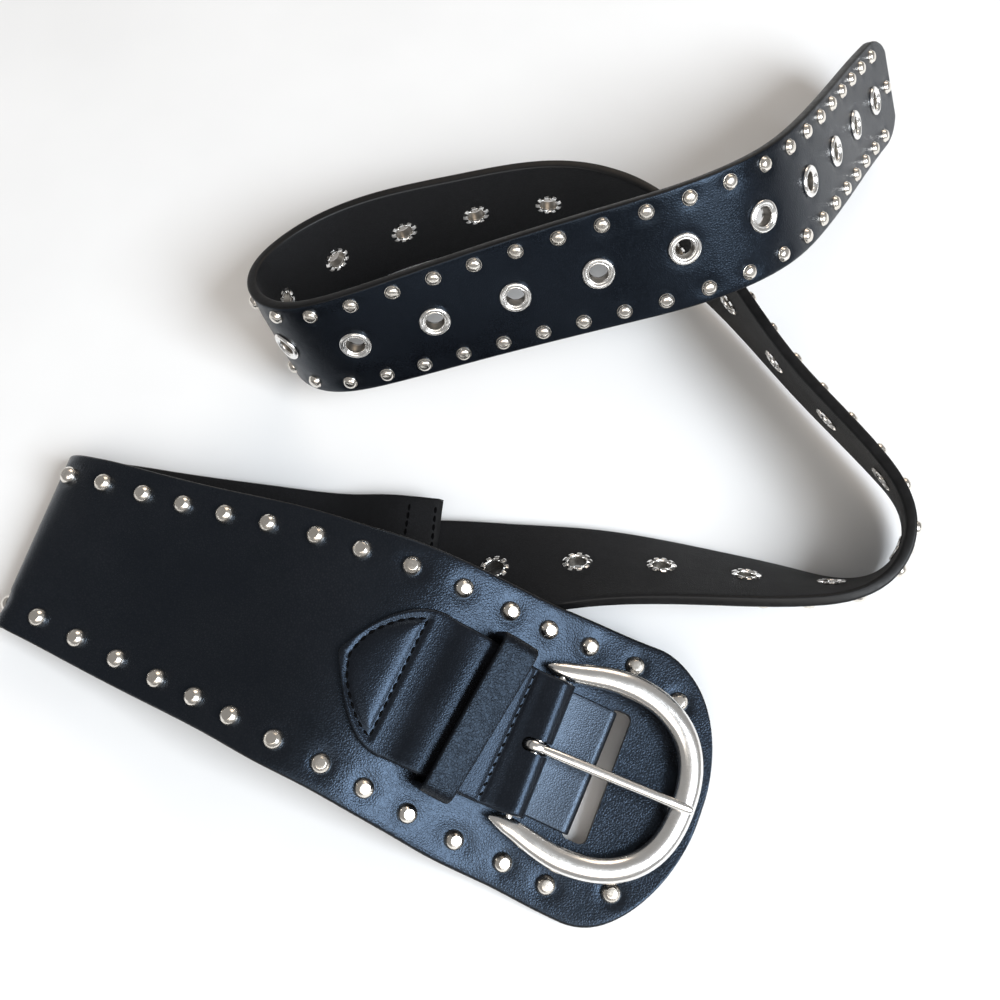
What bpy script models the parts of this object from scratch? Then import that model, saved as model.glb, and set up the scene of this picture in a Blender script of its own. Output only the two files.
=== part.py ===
"""Studded hip belt lying open on a table.

A wide front panel carries a buckle on a stitched tab and a slot for the strap. The panel folds
under itself at one end and is stitched there to a long strap with a row of eyelets between two
rows of studs. Units are metres, +Z is up.

Each leather band is worked out flat first, along its own length (x), across it (y) and through
its thickness (z, outer face up), and is then laid along a route of a few stations.
"""
import math
from typing import NamedTuple

import bmesh
import bpy
import numpy as np
from mathutils import Matrix, Vector

MM = 0.001
OBJECT_NAME = "studded_belt"

# Fit between neighbouring pieces
GAP = 0.3 * MM

# Strap
STRAP_LENGTH = 783.0 * MM
STRAP_WIDTH = 38.7 * MM
STRAP_THICK = 3.6 * MM
TIP_ROUND_LENGTH = 16.0 * MM
TIP_FLAT_WIDTH = 20.0 * MM
STUD_ROW_INSET = 4.5 * MM
STUD_PITCH = 13.5 * MM
STUD_DIAMETER = 5.0 * MM
STUD_HEIGHT = 1.9 * MM
TIP_STUD_INSET = 5.5 * MM

# Eyelets, one to every second stud
FIRST_EYELET = 21.4 * MM
EYELET_OFFSET = 0.35
EYELET_HOLE = 5.6 * MM
EYELET_WALL = 0.5 * MM
EYELET_FLANGE = 10.4 * MM
EYELET_FLANGE_THICK = 0.9 * MM
EYELET_BACK = 9.6 * MM
EYELET_BACK_THICK = 0.5 * MM
EYELET_SIDES = 9

# Panel
PANEL_LENGTH = 377.0 * MM
PANEL_THICK = 3.2 * MM
PANEL_WIDTH = 88.0 * MM
PANEL_MIDDLE_WIDTH = 77.5 * MM
PANEL_FOLD_WIDTH = 62.0 * MM
PANEL_JOINT_WIDTH = 53.0 * MM
PANEL_END_ROUND = 29.0 * MM
PANEL_STUD_INSET = 8.0 * MM
PANEL_STUD_PITCH = 15.6 * MM
PANEL_STUD_DIAMETER = 6.6 * MM
PANEL_STUD_HEIGHT = 2.4 * MM
JOINT_LAP = 12.0 * MM

# Slot and its facing strip
SLOT_PLACE = 32.6 * MM
SLOT_WIDTH = 5.4 * MM
SLOT_LENGTH = 42.0 * MM
FACING_THICK = 1.5 * MM

# Tab that holds the buckle, with its keeper loop
TAB_THICK = 2.6 * MM
TAB_WIDTH = 46.0 * MM
TAB_BAR_WIDTH = 42.5 * MM
TAB_TIP_PLACE = 122.5 * MM
TAB_POINT_LENGTH = 24.0 * MM
TAB_RETURN_LENGTH = 12.0 * MM
KEEPER_PLACE = 78.0 * MM
KEEPER_WIDTH = 12.6 * MM
KEEPER_THICK = 2.0 * MM
KEEPER_SPAN = 52.0 * MM
KEEPER_HEIGHT = 14.0 * MM
KEEPER_CORNER = 3.5 * MM

# Buckle
BAR_PLACE = 57.0 * MM
BAR_DIAMETER = 4.0 * MM
BOW_REACH = 47.6 * MM
BOW_SHOULDER = 19.0 * MM
BOW_HALF_WIDTH = 27.9 * MM
BOW_BAR_HALF_WIDTH = 24.4 * MM
BOW_SECTION = 7.6 * MM
BOW_BAR_SECTION = 5.4 * MM
BOW_FLATNESS = 0.7
BOW_SQUARENESS = 2.35
HORN_LENGTH = 5.5 * MM
HORN_TIP = 1.4 * MM
CROWN_SEAT = 1.1 * MM
TONGUE_WIDTH = 3.0 * MM
TONGUE_OVERHANG = 2.5 * MM
TONGUE_EYE_WALL = 1.5 * MM
TONGUE_NOTCH = 4.2 * MM


class Station(NamedTuple):
    """One place on the strap's route. x, y are shares of the strap's length, from the joint.

    foot is the height of the lower edge as a share of the strap's width. lean is the angle of
    the strap from upright, and towards is the compass angle that its upper edge leans to.
    """

    x: float
    y: float
    foot: float
    lean: float
    towards: float


# From the free tip, over the crossing and round both bends, to the joint
STRAP_ROUTE = (
    Station(0.231, 0.246, 0.14, 42, 117),
    Station(0.212, 0.216, 0.46, 42, 117),
    Station(0.172, 0.149, 1.20, 41, 117),
    Station(0.151, 0.124, 1.42, 41, 117),
    Station(0.121, 0.108, 1.43, 40, 117),
    Station(0.088, 0.101, 1.28, 37, 119),
    Station(0.023, 0.091, 0.88, 30, 127),
    Station(-0.010, 0.085, 0.69, 27, 133),
    Station(-0.041, 0.088, 0.43, 26, 137),
    Station(-0.052, 0.099, 0.28, 26, 135),
    Station(-0.055, 0.115, 0.14, 25, 129),
    Station(-0.049, 0.130, 0.05, 21, 123),
    Station(-0.023, 0.153, 0.00, 12, 117),
    Station(0.025, 0.170, 0.01, 5, 120),
    Station(0.077, 0.176, 0.05, 4, 120),
    Station(0.109, 0.164, 0.08, 3, 160),
    Station(0.133, 0.140, 0.10, 8, 207),
    Station(0.170, 0.082, 0.12, 19, 209),
    Station(0.200, 0.039, 0.17, 21, 207),
    Station(0.208, 0.024, 0.17, 21, 207),
    Station(0.209, 0.007, 0.12, 17, 212),
    Station(0.199, -0.007, 0.03, 17, 244),
    Station(0.183, -0.012, 0.00, 25, 260),
    Station(0.166, -0.011, 0.00, 33, 261),
    Station(0.132, -0.006, 0.00, 43, 261),
    Station(0.081, 0.000, 0.00, 57, 264),
    Station(0.047, 0.000, 0.00, 71, 267),
    Station(0.013, 0.000, 0.00, 89, 269),
    Station(0.000, 0.000, 0.00, 90, 270),
)


class PanelStation(NamedTuple):
    """One place on the panel's route. x, y and rise are shares of the panel's length.

    heading is the compass angle of the straight line across the panel, and tilt is its slope.
    """

    x: float
    y: float
    rise: float
    heading: float
    tilt: float


# From the round end, over the ridge, round the fold and back along the table to the joint
PANEL_ROUTE = (
    PanelStation(0.251, -0.210, 0.0115, 68, 5),
    PanelStation(0.212, -0.194, 0.0150, 68, 6),
    PanelStation(0.166, -0.176, 0.0205, 68, 7),
    PanelStation(0.128, -0.160, 0.0290, 67, 8),
    PanelStation(0.091, -0.147, 0.0440, 66, 10),
    PanelStation(0.056, -0.132, 0.0610, 66, 9),
    PanelStation(0.021, -0.117, 0.0780, 66, 8),
    PanelStation(-0.016, -0.101, 0.0880, 67, 7),
    PanelStation(-0.053, -0.086, 0.0900, 67, 6),
    PanelStation(-0.090, -0.069, 0.0840, 67, 7),
    PanelStation(-0.166, -0.037, 0.0640, 69, 10),
    PanelStation(-0.242, -0.005, 0.0500, 69, 11),
    PanelStation(-0.271, 0.008, 0.0450, 70, 9),
    PanelStation(-0.294, 0.018, 0.0400, 72, 5),
    PanelStation(-0.307, 0.024, 0.0345, 74, 2),
    PanelStation(-0.315, 0.029, 0.0230, 75, 0),
    PanelStation(-0.307, 0.030, 0.0128, 76, 0),
    PanelStation(-0.288, 0.030, 0.0108, 79, 0),
    PanelStation(-0.214, 0.023, 0.0108, 84, 0),
    PanelStation(-0.113, 0.011, 0.0108, 84, 0),
    PanelStation(-0.045, 0.005, 0.0112, 84, 0),
    PanelStation(-0.022, 0.003, 0.0170, 84, 0),
    PanelStation(0.000, 0.000, 0.0216, 84, 0),
    PanelStation(0.032, -0.003, 0.0216, 84, 0),
)


def natural_spline(knots, values, places):
    """Values of the natural cubic spline through rows of values, at the given places."""
    step = np.diff(knots)
    count = len(knots)
    matrix = np.eye(count)
    right = np.zeros_like(values)
    for i in range(1, count - 1):
        matrix[i, i - 1:i + 2] = step[i - 1], 2 * (step[i - 1] + step[i]), step[i]
        right[i] = 6 * ((values[i + 1] - values[i]) / step[i] - (values[i] - values[i - 1]) / step[i - 1])
    bend = np.linalg.solve(matrix, right)
    cell = np.clip(np.searchsorted(knots, places, side="right") - 1, 0, count - 2)
    b = ((places - knots[cell]) / step[cell])[:, None]
    a = 1 - b
    curve = (a ** 3 - a) * bend[cell] + (b ** 3 - b) * bend[cell + 1]
    return a * values[cell] + b * values[cell + 1] + curve * step[cell][:, None] ** 2 / 6


def unit(rows):
    """Rows of vectors, each made one long."""
    return rows / np.linalg.norm(rows, axis=1, keepdims=True)


class Route:
    """A leather band laid in space: straight lines across it, carried along a smooth curve."""

    SAMPLES = 1600

    def __init__(self, middles, across, length):
        chord = np.concatenate([[0.0], np.cumsum(np.linalg.norm(np.diff(middles, axis=0), axis=1))])
        places = np.linspace(0.0, chord[-1], self.SAMPLES)
        self.middle = natural_spline(chord, middles, places)
        self.across = unit(natural_spline(chord, across, places))
        arc = np.concatenate([[0.0], np.cumsum(np.linalg.norm(np.diff(self.middle, axis=0), axis=1))])
        self.place = arc * length / arc[-1]
        self.along = unit(np.gradient(self.middle, self.place, axis=0))
        self.proud = unit(np.cross(self.across, self.along))
        slant = (self.across * self.along).sum(1)
        self.slope = slant / np.sqrt(1 - slant ** 2)
        self.length = length

    def read(self, rows, places):
        return np.stack([np.interp(places, self.place, rows[:, i]) for i in range(3)], axis=1)

    def lay(self, flat):
        """Points in space for flat points (along, across, through)."""
        flat = np.asarray(flat, float).reshape(-1, 3)
        start = flat[:, 0].copy()
        for _ in range(6):
            start = flat[:, 0] - flat[:, 1] * np.interp(start, self.place, self.slope)
        slope = np.interp(start, self.place, self.slope)
        inside = np.clip(start, 0.0, self.length)
        side = flat[:, 1] * np.sqrt(1 + slope ** 2)
        return (self.read(self.middle, inside)
                + unit(self.read(self.along, inside)) * (start - inside)[:, None]
                + unit(self.read(self.across, inside)) * side[:, None]
                + unit(self.read(self.proud, inside)) * flat[:, 2][:, None])

    def sections(self, first, last, most_turn, most_step):
        """Places of the lines across: close together where the band bends, far apart where flat."""
        fine = np.arange(first, last, 0.5 * MM)
        turn = np.zeros(len(fine))
        for rows in (self.along, self.across):
            moved = np.linalg.norm(np.diff(unit(self.read(rows, fine)), axis=0), axis=1)
            turn[1:] = np.maximum(turn[1:], moved)
        spent = np.cumsum(turn / most_turn + 0.5 * MM / most_step)
        count = max(2, math.ceil(spent[-1] - spent[0]) + 1)
        return np.interp(np.linspace(spent[0], spent[-1], count), spent, fine)


def strap_route():
    """The strap's route. Its lower edge, or its studs where they lie lowest, sets its height."""
    rows = np.array(STRAP_ROUTE, float)
    lean = np.radians(rows[:, 3])
    towards = np.radians(rows[:, 4])
    row = STRAP_WIDTH / 2 - STUD_ROW_INSET
    edge_depth = STRAP_WIDTH / 2 * np.cos(lean) + STRAP_THICK / 2 * np.sin(lean)
    stud_depth = row * np.cos(lean) + (STRAP_THICK / 2 + STUD_HEIGHT) * np.sin(lean)
    middles = np.stack([rows[:, 0] * STRAP_LENGTH, rows[:, 1] * STRAP_LENGTH,
                        rows[:, 2] * STRAP_WIDTH + np.maximum(edge_depth, stud_depth)], axis=1)
    across = np.stack([np.sin(lean) * np.cos(towards), np.sin(lean) * np.sin(towards), np.cos(lean)], axis=1)
    return Route(middles, across, STRAP_LENGTH)


def panel_route():
    """The panel's route."""
    rows = np.array(PANEL_ROUTE, float)
    heading = np.radians(rows[:, 3])
    tilt = np.radians(rows[:, 4])
    across = np.stack([np.cos(tilt) * np.cos(heading), np.cos(tilt) * np.sin(heading), np.sin(tilt)], axis=1)
    return Route(rows[:, :3] * PANEL_LENGTH, across, PANEL_LENGTH)


def strap_half_width(place):
    """Half width of the strap, blunt and rounded at its tip."""
    left = np.clip(1 - np.asarray(place) / TIP_ROUND_LENGTH, 0.0, 1.0)
    return TIP_FLAT_WIDTH / 2 + (STRAP_WIDTH - TIP_FLAT_WIDTH) / 2 * np.sqrt(1 - left ** 2)


PANEL_FOLD_PLACE = 234.0 * MM


def panel_half_width(place):
    """Half width of the panel: an elliptical end, then a slow taper to the joint."""
    place = np.asarray(place, float)
    knots = np.array([PANEL_END_ROUND, (PANEL_END_ROUND + PANEL_FOLD_PLACE) / 2, PANEL_FOLD_PLACE, PANEL_LENGTH])
    widths = np.array([PANEL_WIDTH, PANEL_MIDDLE_WIDTH, PANEL_FOLD_WIDTH, PANEL_JOINT_WIDTH])
    body = natural_spline(knots, widths[:, None] / 2, np.maximum(place.ravel(), PANEL_END_ROUND))[:, 0]
    left = np.clip(1 - place.ravel() / PANEL_END_ROUND, 0.0, 1.0)
    return (body * np.sqrt(1 - left ** 2)).reshape(place.shape)


def material(name, colour, roughness, metallic):
    """A plain Principled material."""
    made = bpy.data.materials.new(name)
    made.use_nodes = True
    shader = made.node_tree.nodes["Principled BSDF"]
    shader.inputs["Base Color"].default_value = (*colour, 1.0)
    shader.inputs["Roughness"].default_value = roughness
    shader.inputs["Metallic"].default_value = metallic
    return made


class Workshop:
    """Collections, materials and the few operations that every piece is made with."""

    def __init__(self):
        for old in list(bpy.data.objects):
            bpy.data.objects.remove(old, do_unlink=True)
        self.parts = bpy.data.collections.new(OBJECT_NAME)
        self.cutters = bpy.data.collections.new("cutters")
        bpy.context.scene.collection.children.link(self.parts)
        bpy.context.scene.collection.children.link(self.cutters)
        self.leather = material("black_leather", (0.012, 0.013, 0.016), 0.42, 0.0)
        self.tab_leather = material("black_tab_leather", (0.014, 0.015, 0.018), 0.45, 0.0)
        self.nickel = material("polished_nickel", (0.72, 0.70, 0.67), 0.16, 1.0)

    def guide(self, name, mesh):
        """A hidden helper object."""
        made = bpy.data.objects.new(name, mesh)
        made.hide_render = True
        made.display_type = "WIRE"
        self.cutters.objects.link(made)
        return made

    def from_bmesh(self, name, bm):
        mesh = bpy.data.meshes.new(name)
        bm.to_mesh(mesh)
        bm.free()
        return self.guide(name, mesh)

    def evaluated(self, helper):
        """Mesh of a helper with its modifiers applied; the helper is removed."""
        bpy.context.view_layer.update()
        ready = helper.evaluated_get(bpy.context.evaluated_depsgraph_get())
        mesh = bpy.data.meshes.new_from_object(ready)
        bm = bmesh.new()
        bm.from_mesh(mesh)
        bpy.data.meshes.remove(mesh)
        bpy.data.objects.remove(helper, do_unlink=True)
        bmesh.ops.remove_doubles(bm, verts=bm.verts, dist=0.001 * MM)
        return bm

    def combine(self, base, tool, operation):
        """Boolean of two helpers, as one helper."""
        modifier = base.modifiers.new(operation.lower(), "BOOLEAN")
        modifier.operation = operation
        modifier.solver = "EXACT"
        modifier.object = tool
        bm = self.evaluated(base)
        bpy.data.objects.remove(tool, do_unlink=True)
        return self.from_bmesh(operation.lower(), bm)

    def finish(self, name, bm, surface, origin=None, matrix=None, sharp=35.0):
        """The finished piece: an object with its material, its origin and its place."""
        bmesh.ops.recalc_face_normals(bm, faces=bm.faces)
        if origin is not None:
            bmesh.ops.translate(bm, verts=bm.verts, vec=-Vector(origin))
        mesh = bpy.data.meshes.new(name)
        bm.to_mesh(mesh)
        bm.free()
        mesh.shade_smooth()
        mesh.set_sharp_from_angle(angle=math.radians(sharp))
        mesh.materials.append(surface)
        made = bpy.data.objects.new(name, mesh)
        if origin is not None:
            made.location = origin
        if matrix is not None:
            made.matrix_world = matrix
        self.parts.objects.link(made)
        return made

    def laid(self, name, bm, route, surface, origin=None):
        """A flat piece laid along a route."""
        bmesh.ops.triangulate(bm, faces=bm.faces)
        points = route.lay([vertex.co for vertex in bm.verts])
        for vertex, point in zip(bm.verts, points):
            vertex.co = point
        bmesh.ops.reverse_faces(bm, faces=bm.faces)
        return self.finish(name, bm, surface, origin)


def flat_band(shop, name, route, places, half_width, thick):
    """A flat band with a line across at each place, slanted as the route's own lines are."""
    bm = bmesh.new()
    last = len(places) - 1
    bmesh.ops.create_grid(bm, x_segments=last, y_segments=1, size=1.0)
    for vertex in bm.verts:
        start = places[round((vertex.co.x + 1) / 2 * last)]
        side = 1 if vertex.co.y > 0 else -1
        slope = float(np.interp(start, route.place, route.slope))
        place = start
        for _ in range(6):
            place = start + side * float(half_width(place)) * slope
        vertex.co = (place, side * float(half_width(place)), 0.0)
    band = shop.from_bmesh(name, bm)
    solid = band.modifiers.new("thickness", "SOLIDIFY")
    solid.thickness = thick
    solid.offset = 0.0
    return shop.from_bmesh(name, shop.evaluated(band))


def stud_field(shop, spots, diameter, height, face):
    """Low domed studs standing on the outer face at flat spots."""
    foot = 0.6 * MM
    shoulder = 0.55
    bm = bmesh.new()
    for along, across in spots:
        depth = height + foot
        turn = Matrix.Translation((along, across, face - foot + depth / 2))
        bmesh.ops.create_cone(bm, cap_ends=True, segments=6, radius1=diameter / 2,
                              radius2=diameter / 2 * shoulder, depth=depth, matrix=turn)
    return shop.from_bmesh("studs", bm)


def drill_field(shop, spots, diameter, sides):
    """Round drills through the thickness at flat spots."""
    bm = bmesh.new()
    for along, across in spots:
        bmesh.ops.create_cone(bm, cap_ends=True, segments=sides, radius1=diameter / 2, radius2=diameter / 2,
                              depth=STRAP_THICK * 2, matrix=Matrix.Translation((along, across, 0)))
    return shop.from_bmesh("drills", bm)


def prism(shop, name, outlines, depth):
    """Outlines in the XY plane, filled and thickened by depth about that plane."""
    curve = bpy.data.curves.new(name, "CURVE")
    curve.dimensions = "2D"
    curve.fill_mode = "BOTH"
    curve.extrude = depth / 2
    for outline in outlines:
        spline = curve.splines.new("POLY")
        spline.points.add(len(outline) - 1)
        for point, (x, y) in zip(spline.points, outline):
            point.co = (x, y, 0.0, 1.0)
        spline.use_cyclic_u = True
    helper = bpy.data.objects.new(name, curve)
    shop.cutters.objects.link(helper)
    bm = shop.evaluated(helper)
    bmesh.ops.recalc_face_normals(bm, faces=bm.faces)
    return bm


def side_prism(shop, name, outlines, width):
    """Outlines given as (along, height), thickened across the belt."""
    bm = prism(shop, name, outlines, width)
    bmesh.ops.transform(bm, verts=bm.verts, matrix=Matrix.Rotation(math.radians(90), 4, "X"))
    return bm


def loft_path(path, thick):
    """Outline round a path (x, y), half the thickness to each side."""
    path = np.asarray(path, float)
    tangent = unit(np.gradient(path, axis=0))
    normal = np.stack([-tangent[:, 1], tangent[:, 0]], axis=1) * thick / 2
    return np.concatenate([path + normal, (path - normal)[::-1]])


def arc(centre, radius, start, end, count):
    """Points on an arc, angles in degrees."""
    turn = np.radians(np.linspace(start, end, count))
    return np.stack([centre[0] + radius * np.cos(turn), centre[1] + radius * np.sin(turn)], axis=1)


def rounded_box(half_x, low, high, corner, count):
    """Rounded rectangle in the XY plane."""
    corners = ((half_x - corner, high - corner, 0), (corner - half_x, high - corner, 90),
               (corner - half_x, low + corner, 180), (half_x - corner, low + corner, 270))
    return np.concatenate([arc((x, y), corner, turn, turn + 90, count) for x, y, turn in corners])


def eyelet_places():
    """Places of the eyelets along the strap."""
    count = int((STRAP_LENGTH - JOINT_LAP - FIRST_EYELET - EYELET_FLANGE) / (2 * STUD_PITCH)) + 1
    return [FIRST_EYELET + 2 * STUD_PITCH * i for i in range(count)]


def strap_stud_spots():
    """Flat spots of the strap's studs: two rows, and one alone at the tip."""
    row = STRAP_WIDTH / 2 - STUD_ROW_INSET
    first = FIRST_EYELET - EYELET_OFFSET * STUD_PITCH
    count = int((STRAP_LENGTH - JOINT_LAP - STUD_DIAMETER - first) / STUD_PITCH) + 1
    spots = [(first + STUD_PITCH * i, side * row) for i in range(count) for side in (-1, 1)]
    return [(TIP_STUD_INSET, 0.0)] + spots


def panel_stud_spots():
    """Flat spots of the panel's studs: round its end, then along both edges to the joint."""
    radius_x = PANEL_END_ROUND - PANEL_STUD_INSET
    radius_y = PANEL_WIDTH / 2 - PANEL_STUD_INSET
    spots = []
    for share in (0.0, 0.5, 1.0):
        turn = math.radians(30 + 28 * share)
        side = 0.0 if share == 0.0 else radius_y * math.sin(turn) * (0.62 if share == 0.5 else 1.0)
        along = PANEL_END_ROUND - radius_x * math.sqrt(1 - (side / radius_y) ** 2)
        spots += [(along, side)] if share == 0.0 else [(along, side), (along, -side)]
    first = PANEL_END_ROUND + PANEL_STUD_PITCH * 0.42
    count = int((PANEL_LENGTH - 2 * JOINT_LAP - first) / PANEL_STUD_PITCH) + 1
    for i in range(count):
        along = first + PANEL_STUD_PITCH * i
        side = float(panel_half_width(along)) - PANEL_STUD_INSET
        spots += [(along, side), (along, -side)]
    return spots


def add_strap(shop, route):
    """The long strap with its studs, pierced for the eyelets."""
    tip = TIP_ROUND_LENGTH * (1 - np.cos(np.radians(np.linspace(0, 90, 7))))
    body = route.sections(TIP_ROUND_LENGTH, STRAP_LENGTH, 0.2, 18 * MM)
    band = flat_band(shop, "strap", route, np.concatenate([tip, body[1:]]), strap_half_width, STRAP_THICK)
    holes = [(place, 0.0) for place in eyelet_places()]
    band = shop.combine(band, drill_field(shop, holes, EYELET_HOLE + 2 * (EYELET_WALL + GAP), EYELET_SIDES),
                        "DIFFERENCE")
    band = shop.combine(band, stud_field(shop, strap_stud_spots(), STUD_DIAMETER, STUD_HEIGHT, STRAP_THICK / 2),
                        "UNION")
    return shop.laid("main_strap", shop.evaluated(band), route, shop.leather)


def add_eyelets(shop, route):
    """Eyelets: a flange on the outer face, a barrel through the strap, a set rim on the inner face."""
    hole = EYELET_HOLE / 2
    barrel = hole + EYELET_WALL
    face = STRAP_THICK / 2 + GAP
    rim = EYELET_FLANGE / 2
    profile = [(barrel, face), (rim, face), (rim * 0.84, face + EYELET_FLANGE_THICK),
               (hole, face + EYELET_FLANGE_THICK), (hole, -face - EYELET_BACK_THICK),
               (EYELET_BACK / 2, -face), (barrel, -face)]
    for number, place in enumerate(eyelet_places()):
        bm = bmesh.new()
        ring = [bm.verts.new((radius, 0.0, height)) for radius, height in profile]
        for i, vertex in enumerate(ring):
            bm.edges.new((vertex, ring[(i + 1) % len(ring)]))
        turned = shop.from_bmesh("eyelet", bm)
        screw = turned.modifiers.new("turn", "SCREW")
        screw.axis = "Z"
        screw.steps = EYELET_SIDES
        screw.render_steps = EYELET_SIDES
        screw.use_merge_vertices = True
        screw.merge_threshold = 0.01 * MM
        bm = shop.evaluated(turned)
        bmesh.ops.rotate(bm, verts=bm.verts, matrix=Matrix.Rotation(math.pi / EYELET_SIDES, 3, "Z"))
        bmesh.ops.recalc_face_normals(bm, faces=bm.faces)
        bmesh.ops.translate(bm, verts=bm.verts, vec=(place, 0, 0))
        centre = Vector(route.lay([(place, 0.0, 0.0)])[0])
        shop.laid("eyelet_%02d" % (number + 1), bm, route, shop.nickel, centre)


def add_panel(shop, route):
    """The wide panel with its studs and the slot for the strap."""
    end = PANEL_END_ROUND * (1 - np.cos(np.radians(np.linspace(13, 90, 9))))
    body = route.sections(PANEL_END_ROUND, PANEL_LENGTH, 0.12, 16 * MM)
    band = flat_band(shop, "panel", route, np.concatenate([end, body[1:]]), panel_half_width, PANEL_THICK)
    width = SLOT_WIDTH + FACING_THICK + 2 * GAP
    centre = SLOT_PLACE + width / 2 - SLOT_WIDTH / 2
    outline = rounded_box(width / 2, -SLOT_LENGTH / 2, SLOT_LENGTH / 2, width * 0.3, 4) + (centre, 0.0)
    slot = shop.from_bmesh("slot", prism(shop, "slot", [outline], 3 * PANEL_THICK))
    band = shop.combine(band, slot, "DIFFERENCE")
    studs = stud_field(shop, panel_stud_spots(), PANEL_STUD_DIAMETER, PANEL_STUD_HEIGHT, PANEL_THICK / 2)
    band = shop.combine(band, studs, "UNION")
    return shop.laid("front_panel", shop.evaluated(band), route, shop.leather)


PANEL_FACE = PANEL_THICK / 2
TAB_LOW = PANEL_FACE + GAP + TAB_THICK / 2
TAB_HIGH = TAB_LOW + TAB_THICK + GAP
BAR_HEIGHT = TAB_LOW + TAB_THICK / 2 + GAP + BAR_DIAMETER / 2
ROLL_RADIUS = BAR_DIAMETER / 2 + GAP + TAB_THICK / 2


def tab_path():
    """Side view of the tab: along the panel from its point, over the keeper, round the bar and back."""
    rise_end = KEEPER_PLACE + KEEPER_WIDTH / 2 + 2 * TAB_THICK
    rise_start = rise_end + 3 * TAB_THICK
    past_tip = TAB_TIP_PLACE + TAB_THICK
    flat = [(past_tip - step, TAB_LOW) for step in np.linspace(0, past_tip - rise_start, 4)]
    over = [(place, TAB_HIGH) for place in np.linspace(rise_end, BAR_PLACE + 2.4 * ROLL_RADIUS, 4)]
    roll = arc((BAR_PLACE, BAR_HEIGHT), ROLL_RADIUS, 75, 270, 12)
    under = [(BAR_PLACE + share * TAB_RETURN_LENGTH, TAB_LOW) for share in (0.5, 1.0)]
    return np.concatenate([flat, over, roll, under])


def add_tab(shop, route):
    """The pointed tab, rolled round the buckle's bar, with a notch for the tongue."""
    side = side_prism(shop, "tab", [loft_path(tab_path(), TAB_THICK)], 2 * TAB_WIDTH)
    body = shop.from_bmesh("tab", side)
    point_start = TAB_TIP_PLACE - TAB_POINT_LENGTH
    bar_end = BAR_PLACE - 2 * ROLL_RADIUS
    rows = [(bar_end, TAB_BAR_WIDTH / 2), (BAR_PLACE, TAB_BAR_WIDTH / 2), (point_start, TAB_WIDTH / 2)]
    for share in (0.25, 0.5, 0.7, 0.85, 0.95, 1.0):
        rows.append((point_start + TAB_POINT_LENGTH * share, TAB_WIDTH / 2 * (1 - share ** 2.2) + 0.3 * MM))
    outline = rows + [(place, -half) for place, half in reversed(rows)]
    plan = shop.from_bmesh("plan", prism(shop, "plan", [outline], 40 * MM))
    body = shop.combine(body, plan, "INTERSECT")
    notch_reach = ROLL_RADIUS + TAB_THICK
    bm = bmesh.new()
    bmesh.ops.create_cube(bm, size=1.0)
    bmesh.ops.scale(bm, verts=bm.verts, vec=(2 * notch_reach, TONGUE_NOTCH, 30 * MM))
    bmesh.ops.translate(bm, verts=bm.verts, vec=(BAR_PLACE - 0.2 * TAB_THICK, 0, BAR_HEIGHT))
    body = shop.combine(body, shop.from_bmesh("notch", bm), "DIFFERENCE")
    return shop.laid("buckle_tab", shop.evaluated(body), route, shop.tab_leather)


def add_facing(shop, route):
    """The thin strip between bar and slot, turned down through the slot."""
    middle = PANEL_FACE + GAP + FACING_THICK / 2
    slot_edge = SLOT_PLACE + SLOT_WIDTH / 2 + FACING_THICK / 2
    top = middle + FACING_THICK / 2 + GAP
    roll = ROLL_RADIUS + TAB_THICK / 2 + GAP
    start = BAR_PLACE - math.sqrt(roll ** 2 - (BAR_HEIGHT - top) ** 2)
    corner = FACING_THICK
    path = [(place, middle) for place in np.linspace(start, slot_edge + corner, 5)]
    path = np.concatenate([path, arc((slot_edge + corner, middle - corner), corner, 100, 180, 5),
                           [(slot_edge, -PANEL_FACE)]])
    side = side_prism(shop, "facing", [loft_path(path, FACING_THICK)], SLOT_LENGTH - 2 * GAP - FACING_THICK)
    return shop.laid("slot_facing", side, route, shop.tab_leather)


def add_keeper(shop, route):
    """The loose keeper loop round the tab."""
    low = PANEL_FACE + GAP
    high = low + KEEPER_HEIGHT
    outer = rounded_box(KEEPER_SPAN / 2, low, high, KEEPER_CORNER, 5)
    inner = rounded_box(KEEPER_SPAN / 2 - KEEPER_THICK, low + KEEPER_THICK, high - KEEPER_THICK,
                        KEEPER_CORNER - KEEPER_THICK, 5)
    bm = prism(shop, "keeper", [outer, inner], KEEPER_WIDTH)
    bmesh.ops.transform(bm, verts=bm.verts, matrix=Matrix.Rotation(math.radians(90), 4, "X"))
    bmesh.ops.transform(bm, verts=bm.verts, matrix=Matrix.Rotation(math.radians(90), 4, "Z"))
    bmesh.ops.translate(bm, verts=bm.verts, vec=(KEEPER_PLACE, 0, 0))
    return shop.laid("keeper_loop", bm, route, shop.tab_leather)


def buckle_matrix(route):
    """Place of the buckle: origin on the bar's axis, X to the crown, Y along the bar, Z up."""
    bar = Vector(route.lay([(BAR_PLACE, 0.0, BAR_HEIGHT)])[0])
    side = Vector(route.lay([(BAR_PLACE, 1 * MM, BAR_HEIGHT)])[0]) - bar
    side.normalize()
    crown_height = PANEL_FACE + PANEL_STUD_HEIGHT + CROWN_SEAT + BOW_SECTION / 2 * BOW_FLATNESS
    crown = Vector(route.lay([(BAR_PLACE - BOW_REACH, 0.0, crown_height)])[0])
    forward = crown - bar
    forward -= forward.dot(side) * side
    forward.normalize()
    up = forward.cross(side)
    return Matrix((forward, side, up)).transposed().to_4x4(), bar


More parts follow.
